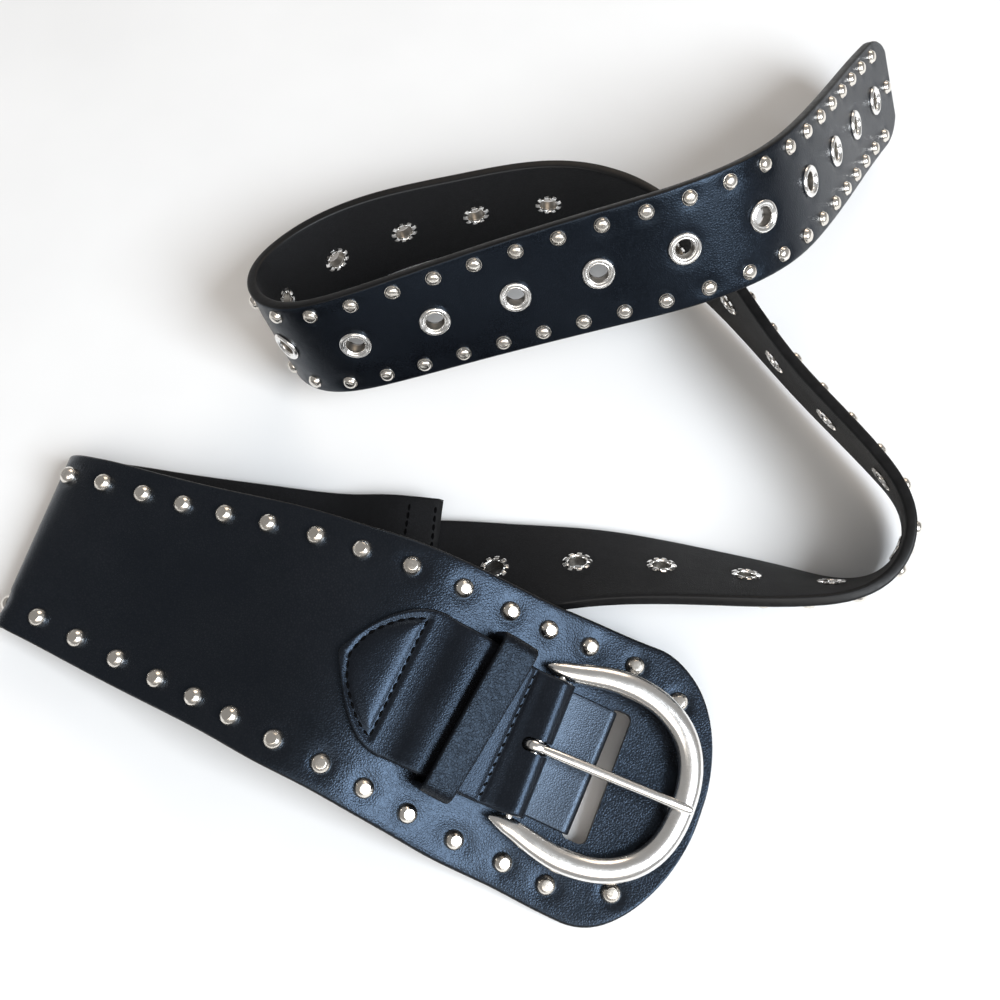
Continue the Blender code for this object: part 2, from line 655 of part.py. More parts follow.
def bow_path():
    """Rows (x, y, section) down the middle of the bow, from one horn round the crown to the other."""
    tip_half = BOW_BAR_HALF_WIDTH - 0.4 * MM
    mid_half = (BOW_BAR_HALF_WIDTH + BOW_HALF_WIDTH) / 2 + 0.35 * MM
    rows = [(-HORN_LENGTH, tip_half, HORN_TIP), (-HORN_LENGTH * 0.6, tip_half + 0.1 * MM, BOW_BAR_SECTION * 0.68),
            (0.0, BOW_BAR_HALF_WIDTH, BOW_BAR_SECTION), (BOW_SHOULDER * 0.5, mid_half, BOW_SECTION * 0.88)]
    middle_reach = BOW_REACH - BOW_SHOULDER
    for turn in np.radians(np.linspace(0, 90, 9)):
        x = BOW_SHOULDER + middle_reach * math.sin(turn) ** (2 / BOW_SQUARENESS)
        y = BOW_HALF_WIDTH * max(math.cos(turn), 0.0) ** (2 / BOW_SQUARENESS)
        rows.append((x, y if turn < 1.57 else 0.0, BOW_SECTION))
    return rows + [(x, -y, section) for x, y, section in reversed(rows[:-1])]


def tube(shop, name, rows):
    """A tube through rows (x, y, z, diameter), with closed ends."""
    curve = bpy.data.curves.new(name, "CURVE")
    curve.dimensions = "3D"
    curve.bevel_depth = 0.5
    curve.bevel_resolution = 2
    curve.use_fill_caps = True
    spline = curve.splines.new("POLY")
    spline.points.add(len(rows) - 1)
    for point, (x, y, z, diameter) in zip(spline.points, rows):
        point.co = (x, y, z, 1.0)
        point.radius = diameter
    helper = bpy.data.objects.new(name, curve)
    shop.cutters.objects.link(helper)
    return shop.evaluated(helper)


def add_buckle(shop, route):
    """The horseshoe frame with its bar, one casting."""
    bm = tube(shop, "bow", [(x, y, 0.0, section) for x, y, section in bow_path()])
    bmesh.ops.scale(bm, verts=bm.verts, vec=(1, 1, BOW_FLATNESS))
    bow = shop.from_bmesh("bow", bm)
    bm = bmesh.new()
    turn = Matrix.Rotation(math.radians(90), 4, "X")
    bmesh.ops.create_cone(bm, cap_ends=True, segments=12, radius1=BAR_DIAMETER / 2, radius2=BAR_DIAMETER / 2,
                          depth=2 * BOW_BAR_HALF_WIDTH, matrix=turn)
    bow = shop.combine(bow, shop.from_bmesh("bar", bm), "UNION")
    axes, bar = buckle_matrix(route)
    return shop.finish("buckle_frame", shop.evaluated(bow), shop.nickel, matrix=Matrix.Translation(bar) @ axes)


def add_tongue(shop, route):
    """The tongue: an eye round the bar and a shank that rests on the crown."""
    inner = BAR_DIAMETER / 2 + GAP
    outer = inner + TONGUE_EYE_WALL
    bm = bmesh.new()
    half = TONGUE_WIDTH / 2
    profile = [(outer, half), (outer, -half), (inner, -half), (inner, half)]
    ring = [bm.verts.new((radius, height, 0.0)) for radius, height in profile]
    for i, vertex in enumerate(ring):
        bm.edges.new((vertex, ring[(i + 1) % len(ring)]))
    eye = shop.from_bmesh("eye", bm)
    screw = eye.modifiers.new("turn", "SCREW")
    screw.axis = "Y"
    screw.steps = 16
    screw.render_steps = 16
    screw.use_merge_vertices = True
    screw.merge_threshold = 0.01 * MM
    bm = shop.evaluated(eye)
    bmesh.ops.recalc_face_normals(bm, faces=bm.faces)
    eye = shop.from_bmesh("eye", bm)
    top = (inner + outer) / 2
    rest = BOW_SECTION / 2 * BOW_FLATNESS + GAP + TONGUE_WIDTH * 0.35
    crown_end = BOW_REACH + TONGUE_OVERHANG
    shank = [(0.0, 0.0, top + 0.1 * MM, TONGUE_WIDTH * 0.7), (2 * top, 0.0, top + 0.35 * MM, TONGUE_WIDTH),
             (BOW_REACH * 0.5, 0.0, (top + rest) / 2 + 0.5 * MM, TONGUE_WIDTH),
             (BOW_REACH * 0.8, 0.0, rest + 0.55 * MM, TONGUE_WIDTH),
             (BOW_REACH, 0.0, rest + 0.45 * MM, TONGUE_WIDTH * 0.95),
             (crown_end - 0.7 * MM, 0.0, rest + 0.1 * MM, TONGUE_WIDTH * 0.8),
             (crown_end, 0.0, rest - 0.1 * MM, TONGUE_WIDTH * 0.45)]
    shank = shop.from_bmesh("shank", tube(shop, "shank", shank))
    whole = shop.combine(eye, shank, "UNION")
    axes, bar = buckle_matrix(route)
    return shop.finish("buckle_tongue", shop.evaluated(whole), shop.nickel, matrix=Matrix.Translation(bar) @ axes)


def stand_on_origin(shop):
    """Parents every piece to one empty and brings the belt's middle over the origin, its foot to z = 0."""
    bpy.context.view_layer.update()
    corners = np.array([part.matrix_world @ vertex.co for part in shop.parts.objects for vertex in part.data.vertices])
    low = corners.min(axis=0)
    high = corners.max(axis=0)
    origin = bpy.data.objects.new("belt_origin", None)
    origin.location = (-(low[0] + high[0]) / 2, -(low[1] + high[1]) / 2, -low[2])
    for part in shop.parts.objects:
        part.parent = origin
    shop.parts.objects.link(origin)


def build():
    """Makes every piece of the belt."""
    shop = Workshop()
    strap = strap_route()
    panel = panel_route()
    add_panel(shop, panel)
    add_tab(shop, panel)
    add_facing(shop, panel)
    add_keeper(shop, panel)
    add_buckle(shop, panel)
    add_tongue(shop, panel)
    add_strap(shop, strap)
    add_eyelets(shop, strap)
    stand_on_origin(shop)


build()
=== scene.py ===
"""Looks of a studded hip belt that lies open on a pale table.

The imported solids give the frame. Every leather band is worked out flat, along its own length
(x), across it (y) and through its thickness (z, outer face up), and is then laid along the same
route as its solid. The metal fittings are turned or swept. Units are metres, +Z is up.
"""

import logging
import math
from dataclasses import dataclass
from enum import Enum
from typing import Callable, Dict, List, NamedTuple, Optional, Sequence, Tuple

import bmesh
import bpy
import numpy as np
from mathutils import Matrix, Vector


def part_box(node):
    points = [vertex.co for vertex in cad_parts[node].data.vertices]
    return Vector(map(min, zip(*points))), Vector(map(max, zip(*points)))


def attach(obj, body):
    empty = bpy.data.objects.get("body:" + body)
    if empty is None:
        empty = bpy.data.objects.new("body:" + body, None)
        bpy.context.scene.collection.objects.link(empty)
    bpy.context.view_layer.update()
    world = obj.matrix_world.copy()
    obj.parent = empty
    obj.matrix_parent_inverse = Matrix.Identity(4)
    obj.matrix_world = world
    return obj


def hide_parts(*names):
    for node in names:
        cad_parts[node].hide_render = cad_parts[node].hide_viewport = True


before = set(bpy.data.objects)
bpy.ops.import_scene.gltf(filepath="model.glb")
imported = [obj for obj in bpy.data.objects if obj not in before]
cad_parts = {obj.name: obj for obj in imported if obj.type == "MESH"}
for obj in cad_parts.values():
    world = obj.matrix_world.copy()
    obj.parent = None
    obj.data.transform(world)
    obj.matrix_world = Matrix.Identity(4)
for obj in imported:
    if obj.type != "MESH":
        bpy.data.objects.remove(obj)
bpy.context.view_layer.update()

LOG = logging.getLogger("studded_belt")
MM = 0.001
Rows = np.ndarray
Colour = Tuple[float, float, float]
HalfWidth = Callable[[Rows], Rows]


class Station(NamedTuple):
    """One place on the strap's route. x, y are shares of the strap's length, from the joint.

    foot is the height of the lower edge as a share of the strap's width. lean is the angle of
    the strap from upright, and towards is the compass angle that its upper edge leans to.
    """

    x: float
    y: float
    foot: float
    lean: float
    towards: float


# From the free tip, over the crossing and round both bends, to the joint
STRAP_ROUTE = (
    Station(0.231, 0.246, 0.14, 42, 117),
    Station(0.212, 0.216, 0.46, 42, 117),
    Station(0.172, 0.149, 1.20, 41, 117),
    Station(0.151, 0.124, 1.42, 41, 117),
    Station(0.121, 0.108, 1.43, 40, 117),
    Station(0.088, 0.101, 1.28, 37, 119),
    Station(0.023, 0.091, 0.88, 30, 127),
    Station(-0.010, 0.085, 0.69, 27, 133),
    Station(-0.041, 0.088, 0.43, 26, 137),
    Station(-0.052, 0.099, 0.28, 26, 135),
    Station(-0.055, 0.115, 0.14, 25, 129),
    Station(-0.049, 0.130, 0.05, 21, 123),
    Station(-0.023, 0.153, 0.00, 12, 117),
    Station(0.025, 0.170, 0.01, 5, 120),
    Station(0.077, 0.176, 0.05, 4, 120),
    Station(0.109, 0.164, 0.08, 3, 160),
    Station(0.133, 0.140, 0.10, 8, 207),
    Station(0.170, 0.082, 0.12, 19, 209),
    Station(0.200, 0.039, 0.17, 21, 207),
    Station(0.208, 0.024, 0.17, 21, 207),
    Station(0.209, 0.007, 0.12, 17, 212),
    Station(0.199, -0.007, 0.03, 17, 244),
    Station(0.183, -0.012, 0.00, 25, 260),
    Station(0.166, -0.011, 0.00, 33, 261),
    Station(0.132, -0.006, 0.00, 43, 261),
    Station(0.081, 0.000, 0.00, 57, 264),
    Station(0.047, 0.000, 0.00, 71, 267),
    Station(0.013, 0.000, 0.00, 89, 269),
    Station(0.000, 0.000, 0.00, 90, 270),
)


class PanelStation(NamedTuple):
    """One place on the panel's route. x, y and rise are shares of the panel's length.

    heading is the compass angle of the straight line across the panel, and tilt is its slope.
    """

    x: float
    y: float
    rise: float
    heading: float
    tilt: float


# From the round end, over the ridge, round the fold and back along the table to the joint
PANEL_ROUTE = (
    PanelStation(0.251, -0.210, 0.0115, 68, 5),
    PanelStation(0.212, -0.194, 0.0150, 68, 6),
    PanelStation(0.166, -0.176, 0.0205, 68, 7),
    PanelStation(0.128, -0.160, 0.0290, 67, 8),
    PanelStation(0.091, -0.147, 0.0440, 66, 10),
    PanelStation(0.056, -0.132, 0.0610, 66, 9),
    PanelStation(0.021, -0.117, 0.0780, 66, 8),
    PanelStation(-0.016, -0.101, 0.0880, 67, 7),
    PanelStation(-0.053, -0.086, 0.0900, 67, 6),
    PanelStation(-0.090, -0.069, 0.0840, 67, 7),
    PanelStation(-0.166, -0.037, 0.0640, 69, 10),
    PanelStation(-0.242, -0.005, 0.0500, 69, 11),
    PanelStation(-0.271, 0.008, 0.0450, 70, 9),
    PanelStation(-0.294, 0.018, 0.0400, 72, 5),
    PanelStation(-0.307, 0.024, 0.0345, 74, 2),
    PanelStation(-0.315, 0.029, 0.0230, 75, 0),
    PanelStation(-0.307, 0.030, 0.0128, 76, 0),
    PanelStation(-0.288, 0.030, 0.0108, 79, 0),
    PanelStation(-0.214, 0.023, 0.0108, 84, 0),
    PanelStation(-0.113, 0.011, 0.0108, 84, 0),
    PanelStation(-0.045, 0.005, 0.0112, 84, 0),
    PanelStation(-0.022, 0.003, 0.0170, 84, 0),
    PanelStation(0.000, 0.000, 0.0216, 84, 0),
    PanelStation(0.032, -0.003, 0.0216, 84, 0),
)


@dataclass(frozen=True)
class BeltSizes:
    """Real sizes of the belt's parts, in metres, as in its solids."""

    gap: float = 0.3 * MM
    strap_length: float = 783.0 * MM
    strap_width: float = 38.7 * MM
    strap_thick: float = 3.6 * MM
    tip_round_length: float = 16.0 * MM
    tip_flat_width: float = 20.0 * MM
    stud_row_inset: float = 4.5 * MM
    stud_pitch: float = 13.5 * MM
    stud_diameter: float = 5.0 * MM
    stud_height: float = 1.9 * MM
    tip_stud_inset: float = 5.5 * MM
    first_eyelet: float = 21.4 * MM
    eyelet_offset: float = 0.35
    eyelet_hole: float = 5.6 * MM
    eyelet_wall: float = 0.5 * MM
    eyelet_flange: float = 10.4 * MM
    eyelet_flange_thick: float = 0.9 * MM
    eyelet_back: float = 9.6 * MM
    eyelet_back_thick: float = 0.5 * MM
    panel_length: float = 377.0 * MM
    panel_thick: float = 3.2 * MM
    panel_width: float = 88.0 * MM
    panel_middle_width: float = 77.5 * MM
    panel_fold_width: float = 62.0 * MM
    panel_joint_width: float = 53.0 * MM
    panel_fold_place: float = 234.0 * MM
    panel_end_round: float = 29.0 * MM
    panel_stud_inset: float = 8.0 * MM
    panel_stud_pitch: float = 15.6 * MM
    panel_stud_diameter: float = 6.6 * MM
    panel_stud_height: float = 2.4 * MM
    joint_lap: float = 12.0 * MM
    slot_place: float = 32.6 * MM
    slot_width: float = 5.4 * MM
    slot_length: float = 42.0 * MM
    facing_thick: float = 1.5 * MM
    tab_thick: float = 2.6 * MM
    tab_width: float = 46.0 * MM
    tab_bar_width: float = 42.5 * MM
    tab_tip_place: float = 122.5 * MM
    tab_point_length: float = 24.0 * MM
    tab_return_length: float = 12.0 * MM
    keeper_place: float = 78.0 * MM
    keeper_width: float = 12.6 * MM
    keeper_thick: float = 2.0 * MM
    keeper_span: float = 52.0 * MM
    keeper_height: float = 14.0 * MM
    keeper_corner: float = 3.5 * MM
    bar_place: float = 57.0 * MM
    bar_diameter: float = 4.0 * MM
    bow_reach: float = 47.6 * MM
    bow_shoulder: float = 19.0 * MM
    bow_half_width: float = 27.9 * MM
    bow_bar_half_width: float = 24.4 * MM
    bow_section: float = 7.6 * MM
    bow_bar_section: float = 5.4 * MM
    bow_flatness: float = 0.7
    bow_squareness: float = 2.35
    horn_length: float = 5.5 * MM
    horn_tip: float = 1.4 * MM
    crown_seat: float = 1.1 * MM
    tongue_width: float = 3.0 * MM
    tongue_overhang: float = 2.5 * MM
    tongue_eye_wall: float = 1.5 * MM
    tongue_notch: float = 4.2 * MM

    @property
    def panel_face(self) -> float:
        """Height of the panel's outer face above its middle."""
        return self.panel_thick / 2

    @property
    def tab_low(self) -> float:
        """Height of the middle of the tab where it lies on the panel."""
        return self.panel_face + self.gap + self.tab_thick / 2

    @property
    def tab_high(self) -> float:
        """Height of the middle of the tab where it lies on its own return."""
        return self.tab_low + self.tab_thick + self.gap

    @property
    def bar_height(self) -> float:
        """Height of the buckle's bar above the panel's middle."""
        return self.tab_low + self.tab_thick / 2 + self.gap + self.bar_diameter / 2

    @property
    def roll_radius(self) -> float:
        """Radius of the middle of the tab's roll round the bar."""
        return self.bar_diameter / 2 + self.gap + self.tab_thick / 2


SIZES = BeltSizes()

# Studs on the panel's round end: angle from the panel's middle line, and share of that reach
END_STUDS = ((30.0, 0.0), (44.0, 0.62), (58.0, 1.0))

# Place of the first stud on the straight sides, past the round end, in stud pitches
FIRST_SIDE_STUD = 0.42


def unit(rows: Rows) -> Rows:
    """Rows of vectors, each made one long."""
    return rows / np.linalg.norm(rows, axis=-1, keepdims=True)


def natural_spline(knots: Rows, values: Rows, places: Rows) -> Rows:
    """Values of the natural cubic spline through rows of values.

    Args:
        knots: Places of the rows, rising.
        values: One row of values for each knot.
        places: Where the spline is read.

    Returns:
        One row for each place.
    """
    step = np.diff(knots)
    count = len(knots)
    matrix = np.eye(count)
    right = np.zeros_like(values)
    for i in range(1, count - 1):
        matrix[i, i - 1:i + 2] = step[i - 1], 2 * (step[i - 1] + step[i]), step[i]
        right[i] = 6 * ((values[i + 1] - values[i]) / step[i] - (values[i] - values[i - 1]) / step[i - 1])
    bend = np.linalg.solve(matrix, right)
    cell = np.clip(np.searchsorted(knots, places, side="right") - 1, 0, count - 2)
    b = ((places - knots[cell]) / step[cell])[:, None]
    a = 1 - b
    curve = (a ** 3 - a) * bend[cell] + (b ** 3 - b) * bend[cell + 1]
    return a * values[cell] + b * values[cell + 1] + curve * step[cell][:, None] ** 2 / 6


class Route:
    """A leather band laid in space: straight lines across it, carried along a smooth curve."""

    SAMPLES: int = 1600

    def __init__(self, middles: Rows, across: Rows, length: float) -> None:
        """Takes the route's stations.

        Args:
            middles: The band's middle at each station.
            across: The direction across the band at each station.
            length: The band's flat length.
        """
        chord = np.concatenate([[0.0], np.cumsum(np.linalg.norm(np.diff(middles, axis=0), axis=1))])
        places = np.linspace(0.0, chord[-1], self.SAMPLES)
        self.middle = natural_spline(chord, middles, places)
        self.across = unit(natural_spline(chord, across, places))
        arc = np.concatenate([[0.0], np.cumsum(np.linalg.norm(np.diff(self.middle, axis=0), axis=1))])
        self.place = arc * length / arc[-1]
        self.along = unit(np.gradient(self.middle, self.place, axis=0))
        self.proud = unit(np.cross(self.across, self.along))
        slant = (self.across * self.along).sum(1)
        self.slope = slant / np.sqrt(1 - slant ** 2)
        self.length = length
        self.shift = np.zeros(3)

    def read(self, rows: Rows, places: Rows) -> Rows:
        """Rows of the route read at places along it."""
        return np.stack([np.interp(places, self.place, rows[:, i]) for i in range(3)], axis=1)

    def slope_at(self, places: Rows) -> Rows:
        """How far the line across runs forward for each metre across."""
        return np.interp(places, self.place, self.slope)

    def lay(self, flat: Rows) -> Rows:
        """Lays flat points in space.

        Args:
            flat: Rows of (along, across, through).

        Returns:
            Rows of points in the row frame.
        """
        flat = np.asarray(flat, float).reshape(-1, 3)
        start = flat[:, 0].copy()
        for _ in range(6):
            start = flat[:, 0] - flat[:, 1] * self.slope_at(start)
        inside = np.clip(start, 0.0, self.length)
        side = flat[:, 1] * np.sqrt(1 + self.slope_at(start) ** 2)
        return (self.read(self.middle, inside)
                + unit(self.read(self.along, inside)) * (start - inside)[:, None]
                + unit(self.read(self.across, inside)) * side[:, None]
                + unit(self.read(self.proud, inside)) * flat[:, 2][:, None]
                + self.shift)


def strap_route() -> Route:
    """The strap's route. Its lower edge, or its studs where they lie lowest, sets its height.

    Returns:
        The route, from the tip to the joint.
    """
    rows = np.array(STRAP_ROUTE, float)
    lean = np.radians(rows[:, 3])
    towards = np.radians(rows[:, 4])
    row = SIZES.strap_width / 2 - SIZES.stud_row_inset
    edge_depth = SIZES.strap_width / 2 * np.cos(lean) + SIZES.strap_thick / 2 * np.sin(lean)
    stud_depth = row * np.cos(lean) + (SIZES.strap_thick / 2 + SIZES.stud_height) * np.sin(lean)
    middles = np.stack([rows[:, 0] * SIZES.strap_length, rows[:, 1] * SIZES.strap_length,
                        rows[:, 2] * SIZES.strap_width + np.maximum(edge_depth, stud_depth)], axis=1)
    across = np.stack([np.sin(lean) * np.cos(towards), np.sin(lean) * np.sin(towards), np.cos(lean)], axis=1)
    return Route(middles, across, SIZES.strap_length)


def panel_route() -> Route:
    """The panel's route.

    Returns:
        The route, from the round end to the joint.
    """
    rows = np.array(PANEL_ROUTE, float)
    heading = np.radians(rows[:, 3])
    tilt = np.radians(rows[:, 4])
    across = np.stack([np.cos(tilt) * np.cos(heading), np.cos(tilt) * np.sin(heading), np.sin(tilt)], axis=1)
    return Route(rows[:, :3] * SIZES.panel_length, across, SIZES.panel_length)


def eyelet_places() -> List[float]:
    """Places of the eyelets along the strap.

    Returns:
        One place for each eyelet, from the tip.
    """
    room = SIZES.strap_length - SIZES.joint_lap - SIZES.first_eyelet - SIZES.eyelet_flange
    count = int(room / (2 * SIZES.stud_pitch)) + 1
    return [SIZES.first_eyelet + 2 * SIZES.stud_pitch * i for i in range(count)]


def strap_half_width(place: Rows) -> Rows:
    """Half width of the strap, blunt and rounded at its tip.

    Args:
        place: Places along the strap, from the tip.

    Returns:
        The half width at each place.
    """
    left = np.clip(1 - np.asarray(place) / SIZES.tip_round_length, 0.0, 1.0)
    side = (SIZES.strap_width - SIZES.tip_flat_width) / 2
    return SIZES.tip_flat_width / 2 + side * np.sqrt(1 - left ** 2)


def panel_half_width(place: Rows) -> Rows:
    """Half width of the panel: an elliptical end, then a slow taper to the joint.

    Args:
        place: Places along the panel, from its round end.

    Returns:
        The half width at each place.
    """
    place = np.asarray(place, float)
    middle = (SIZES.panel_end_round + SIZES.panel_fold_place) / 2
    knots = np.array([SIZES.panel_end_round, middle, SIZES.panel_fold_place, SIZES.panel_length])
    widths = np.array([SIZES.panel_width, SIZES.panel_middle_width, SIZES.panel_fold_width,
                       SIZES.panel_joint_width])
    body = natural_spline(knots, widths[:, None] / 2, np.maximum(place.ravel(), SIZES.panel_end_round))[:, 0]
    left = np.clip(1 - place.ravel() / SIZES.panel_end_round, 0.0, 1.0)
    return (body * np.sqrt(1 - left ** 2)).reshape(place.shape)


def strap_stud_spots() -> Rows:
    """Flat spots of the strap's studs: two rows, and one alone at the tip.

    Returns:
        Rows of (along, across).
    """
    row = SIZES.strap_width / 2 - SIZES.stud_row_inset
    first = SIZES.first_eyelet - SIZES.eyelet_offset * SIZES.stud_pitch
    room = SIZES.strap_length - SIZES.joint_lap - SIZES.stud_diameter - first
    spots = [(first + SIZES.stud_pitch * i, side * row)
             for i in range(int(room / SIZES.stud_pitch) + 1) for side in (-1, 1)]
    return np.array([(SIZES.tip_stud_inset, 0.0)] + spots)


def panel_stud_spots() -> Rows:
    """Flat spots of the panel's studs: round its end, then along both edges to the joint.

    Returns:
        Rows of (along, across).
    """
    radius_x = SIZES.panel_end_round - SIZES.panel_stud_inset
    radius_y = SIZES.panel_width / 2 - SIZES.panel_stud_inset
    spots = []
    for turn, share in END_STUDS:
        side = radius_y * math.sin(math.radians(turn)) * share
        along = SIZES.panel_end_round - radius_x * math.sqrt(1 - (side / radius_y) ** 2)
        spots += [(along, side)] if share == 0.0 else [(along, side), (along, -side)]
    first = SIZES.panel_end_round + SIZES.panel_stud_pitch * FIRST_SIDE_STUD
    room = SIZES.panel_length - 2 * SIZES.joint_lap - first
    for i in range(int(room / SIZES.panel_stud_pitch) + 1):
        along = first + SIZES.panel_stud_pitch * i
        side = float(panel_half_width(along)) - SIZES.panel_stud_inset
        spots += [(along, side), (along, -side)]
    return np.array(spots)


def arc(centre: Sequence[float], radius: float, start: float, end: float, count: int) -> Rows:
    """Points on an arc, angles in degrees."""
    turn = np.radians(np.linspace(start, end, count))
    return np.stack([centre[0] + radius * np.cos(turn), centre[1] + radius * np.sin(turn)], axis=1)


def rounded_box(half_x: float, low: float, high: float, corner: float, count: int) -> Rows:
    """Points round a rectangle with round corners.

    Args:
        half_x: Half the width of the rectangle.
        low: Height of its lower side.
        high: Height of its upper side.
        corner: Radius of its corners.
        count: Points on each corner.

    Returns:
        Rows of points, once round.
    """
    corners = ((half_x - corner, high - corner, 0), (corner - half_x, high - corner, 90),
               (corner - half_x, low + corner, 180), (half_x - corner, low + corner, 270))
    return np.concatenate([arc((x, y), corner, turn, turn + 90, count) for x, y, turn in corners])


def even_path(path: Rows, step: float, closed: bool = False) -> Rows:
    """A path in even steps, its corners eased.

    Args:
        path: Rows of points.
        step: Length of one step.
        closed: Whether the path runs back to its start.

    Returns:
        Rows of points.
    """
    path = np.asarray(path, float)
    for _ in range(2):
        after = np.roll(path, -1, axis=0)
        eased = np.stack([0.75 * path + 0.25 * after, 0.25 * path + 0.75 * after], axis=1)
        eased = eased.reshape(-1, path.shape[1])
        path = eased if closed else np.concatenate([path[:1], eased[:-2], path[-1:]])
    if closed:
        path = np.concatenate([path, path[:1]])
    arc_length = np.concatenate([[0.0], np.cumsum(np.linalg.norm(np.diff(path, axis=0), axis=1))])
    count = max(4, round(arc_length[-1] / step))
    places = np.linspace(0.0, arc_length[-1], count + 1)
    out = np.stack([np.interp(places, arc_length, path[:, i]) for i in range(path.shape[1])], axis=1)
    return out[:-1] if closed else out


@dataclass
class Form:
    """A mesh in the making: its points, its faces, and where on the band each point was."""

    points: Rows
    faces: List[Tuple[int, ...]]
    flat: Optional[Rows] = None

    def joined(self, other: "Form") -> "Form":
        """This form and another as one.

        Args:
            other: The other form.

        Returns:
            One form with the points and faces of both.
        """
        count = len(self.points)
        faces = self.faces + [tuple(i + count for i in face) for face in other.faces]
        flat = None
        if self.flat is not None and other.flat is not None:
            flat = np.concatenate([self.flat, other.flat])
        return Form(np.concatenate([self.points, other.points]), faces, flat)

    def laid(self, route: Route) -> "Form":
        """This flat form laid along a route."""
        return Form(route.lay(self.points), self.faces, self.points.copy())

    def placed(self, matrix: Matrix) -> "Form":
        """This form moved by a matrix."""
        turn = np.array(matrix.to_3x3())
        return Form(self.points @ turn.T + np.array(matrix.translation), self.faces, self.flat)


def grid_faces(rows: int, columns: int, closed_columns: bool = True, closed_rows: bool = False,
               capped: bool = True) -> List[Tuple[int, ...]]:
    """Faces of a grid of points kept row by row.

    Args:
        rows: Number of rows.
        columns: Number of points in a row.
        closed_columns: Whether each row is a ring.
        closed_rows: Whether the last row joins the first.
        capped: Whether the first and the last row are closed with a face.

    Returns:
        The faces, as tuples of point numbers.
    """
    faces: List[Tuple[int, ...]] = []
    for i in range(rows if closed_rows else rows - 1):
        a, b = i * columns, ((i + 1) % rows) * columns
        for j in range(columns if closed_columns else columns - 1):
            k = (j + 1) % columns
            faces.append((a + j, a + k, b + k, b + j))
    if capped and not closed_rows:
        faces.append(tuple(reversed(range(columns))))
        faces.append(tuple(range((rows - 1) * columns, rows * columns)))
    return faces


def band_ring(cells: int, arc_steps: int = 3) -> Tuple[Rows, Rows, Rows, Rows]:
    """One ring round a band's section, as shares.

    Args:
        cells: Number of cells across each face.
        arc_steps: Steps on each round corner.

    Returns:
        Shares of the half width inside its corners and of the corner's radius, then the same
        for the half thickness.
    """
    turn = np.radians(np.linspace(0, 90, arc_steps + 1))
    flat = np.linspace(-1, 1, cells + 1)
    one = np.ones_like(turn[1:])
    wide = np.concatenate([flat, one, one, flat[::-1], -one, -one])
    wide_round = np.concatenate([0 * flat, np.sin(turn[1:]), np.cos(turn[:-1]), 0 * flat,
                                 -np.sin(turn[1:]), -np.cos(turn[:-1])])
    deep = np.concatenate([0 * flat + 1, one, -one, 0 * flat - 1, -one, one])
    deep_round = np.concatenate([0 * flat + 1, np.cos(turn[1:]), -np.sin(turn[:-1]), 0 * flat - 1,
                                 -np.cos(turn[1:]), np.sin(turn[:-1])])
    return wide, wide_round, deep, deep_round


@dataclass
class LeatherBand:
    """A strip of leather worked out flat, with rounded edges."""

    route: Route
    half_width: HalfWidth
    thick: float
    edge_round: float
    cells: int

    def form(self, starts: Rows) -> Form:
        """The flat strip.

        Args:
            starts: Places of the lines across, at the strip's middle.

        Returns:
            The closed form, flat.
        """
        wide, wide_round, deep, deep_round = band_ring(self.cells)
        slope = self.route.slope_at(starts)
        sides = {}
        for side in (-1, 1):
            place = starts.copy()
            for _ in range(6):
                place = starts + side * self.half_width(place) * slope
            sides[side] = self.half_width(place)
        from_end = np.minimum(starts, self.route.length - starts)
        end = np.clip(1 - from_end / self.edge_round, 0.0, 1.0)
        depth = self.thick / 2 * np.sqrt(1 - end ** 2)
        rows = []
        for i, start in enumerate(starts):
            half = np.where(wide + wide_round * 0.01 < 0, sides[-1][i], sides[1][i])
            corner = min(self.edge_round, 0.8 * depth[i], 0.8 * half.min())
            y = wide * (half - corner) + wide_round * corner
            z = deep * (depth[i] - corner) + deep_round * corner
            rows.append(np.stack([start + y * slope[i], y, z], axis=1))
        points = np.concatenate(rows)
        return Form(points, grid_faces(len(starts), len(wide)))


def dimpled(points: Rows, spots: Rows, radius: float, depth: float, reach: float, face: float) -> Rows:
    """Presses the outer face down round each stud.

    Args:
        points: Flat points.
        spots: Flat spots of the studs.
        radius: A stud's radius.
        depth: How deep the leather is pressed.
        reach: How far from the stud it rises again.
        face: Height of the outer face.

    Returns:
        The points, with those of the outer face lowered.
    """
    points = points.copy()
    upper = np.clip((points[:, 2] + face) / (2 * face), 0.0, 1.0)
    order = np.argsort(points[:, 0])
    sorted_x = points[order, 0]
    for spot in spots:
        first, last = np.searchsorted(sorted_x, [spot[0] - radius - 3 * reach, spot[0] + radius + 3 * reach])
        near = order[first:last]
        away = np.hypot(points[near, 0] - spot[0], points[near, 1] - spot[1])
        press = depth * np.exp(-(np.maximum(away - radius, 0.0) / reach) ** 2)
        points[near, 2] -= press * upper[near]
    return points


def turned(profile: Rows, sides: int, lobes: int = 0, lobe_rows: Sequence[int] = (),
           lobe_inner: float = 0.0) -> Form:
    """A turned form about +Z.

    Args:
        profile: Rows of (radius, height), a closed loop run through in order.
        sides: Number of sides.
        lobes: Number of petals cut into the rows named next.
        lobe_rows: Rows of the profile that run in and out.
        lobe_inner: Radius that they run in to.

    Returns:
        The closed ring.
    """
    turn = np.linspace(0, 2 * math.pi, sides, endpoint=False)
    rows = []
    for i, (radius, height) in enumerate(profile):
        reach = np.full(sides, radius)
        if i in lobe_rows:
            wave = np.clip((np.abs(np.sin(turn * lobes / 2)) - 0.42) / 0.3, 0.0, 1.0)
            reach = lobe_inner + (radius - lobe_inner) * wave
        rows.append(np.stack([reach * np.cos(turn), reach * np.sin(turn), np.full(sides, height)], axis=1))
    return Form(np.concatenate(rows), grid_faces(len(profile), sides, closed_rows=True))


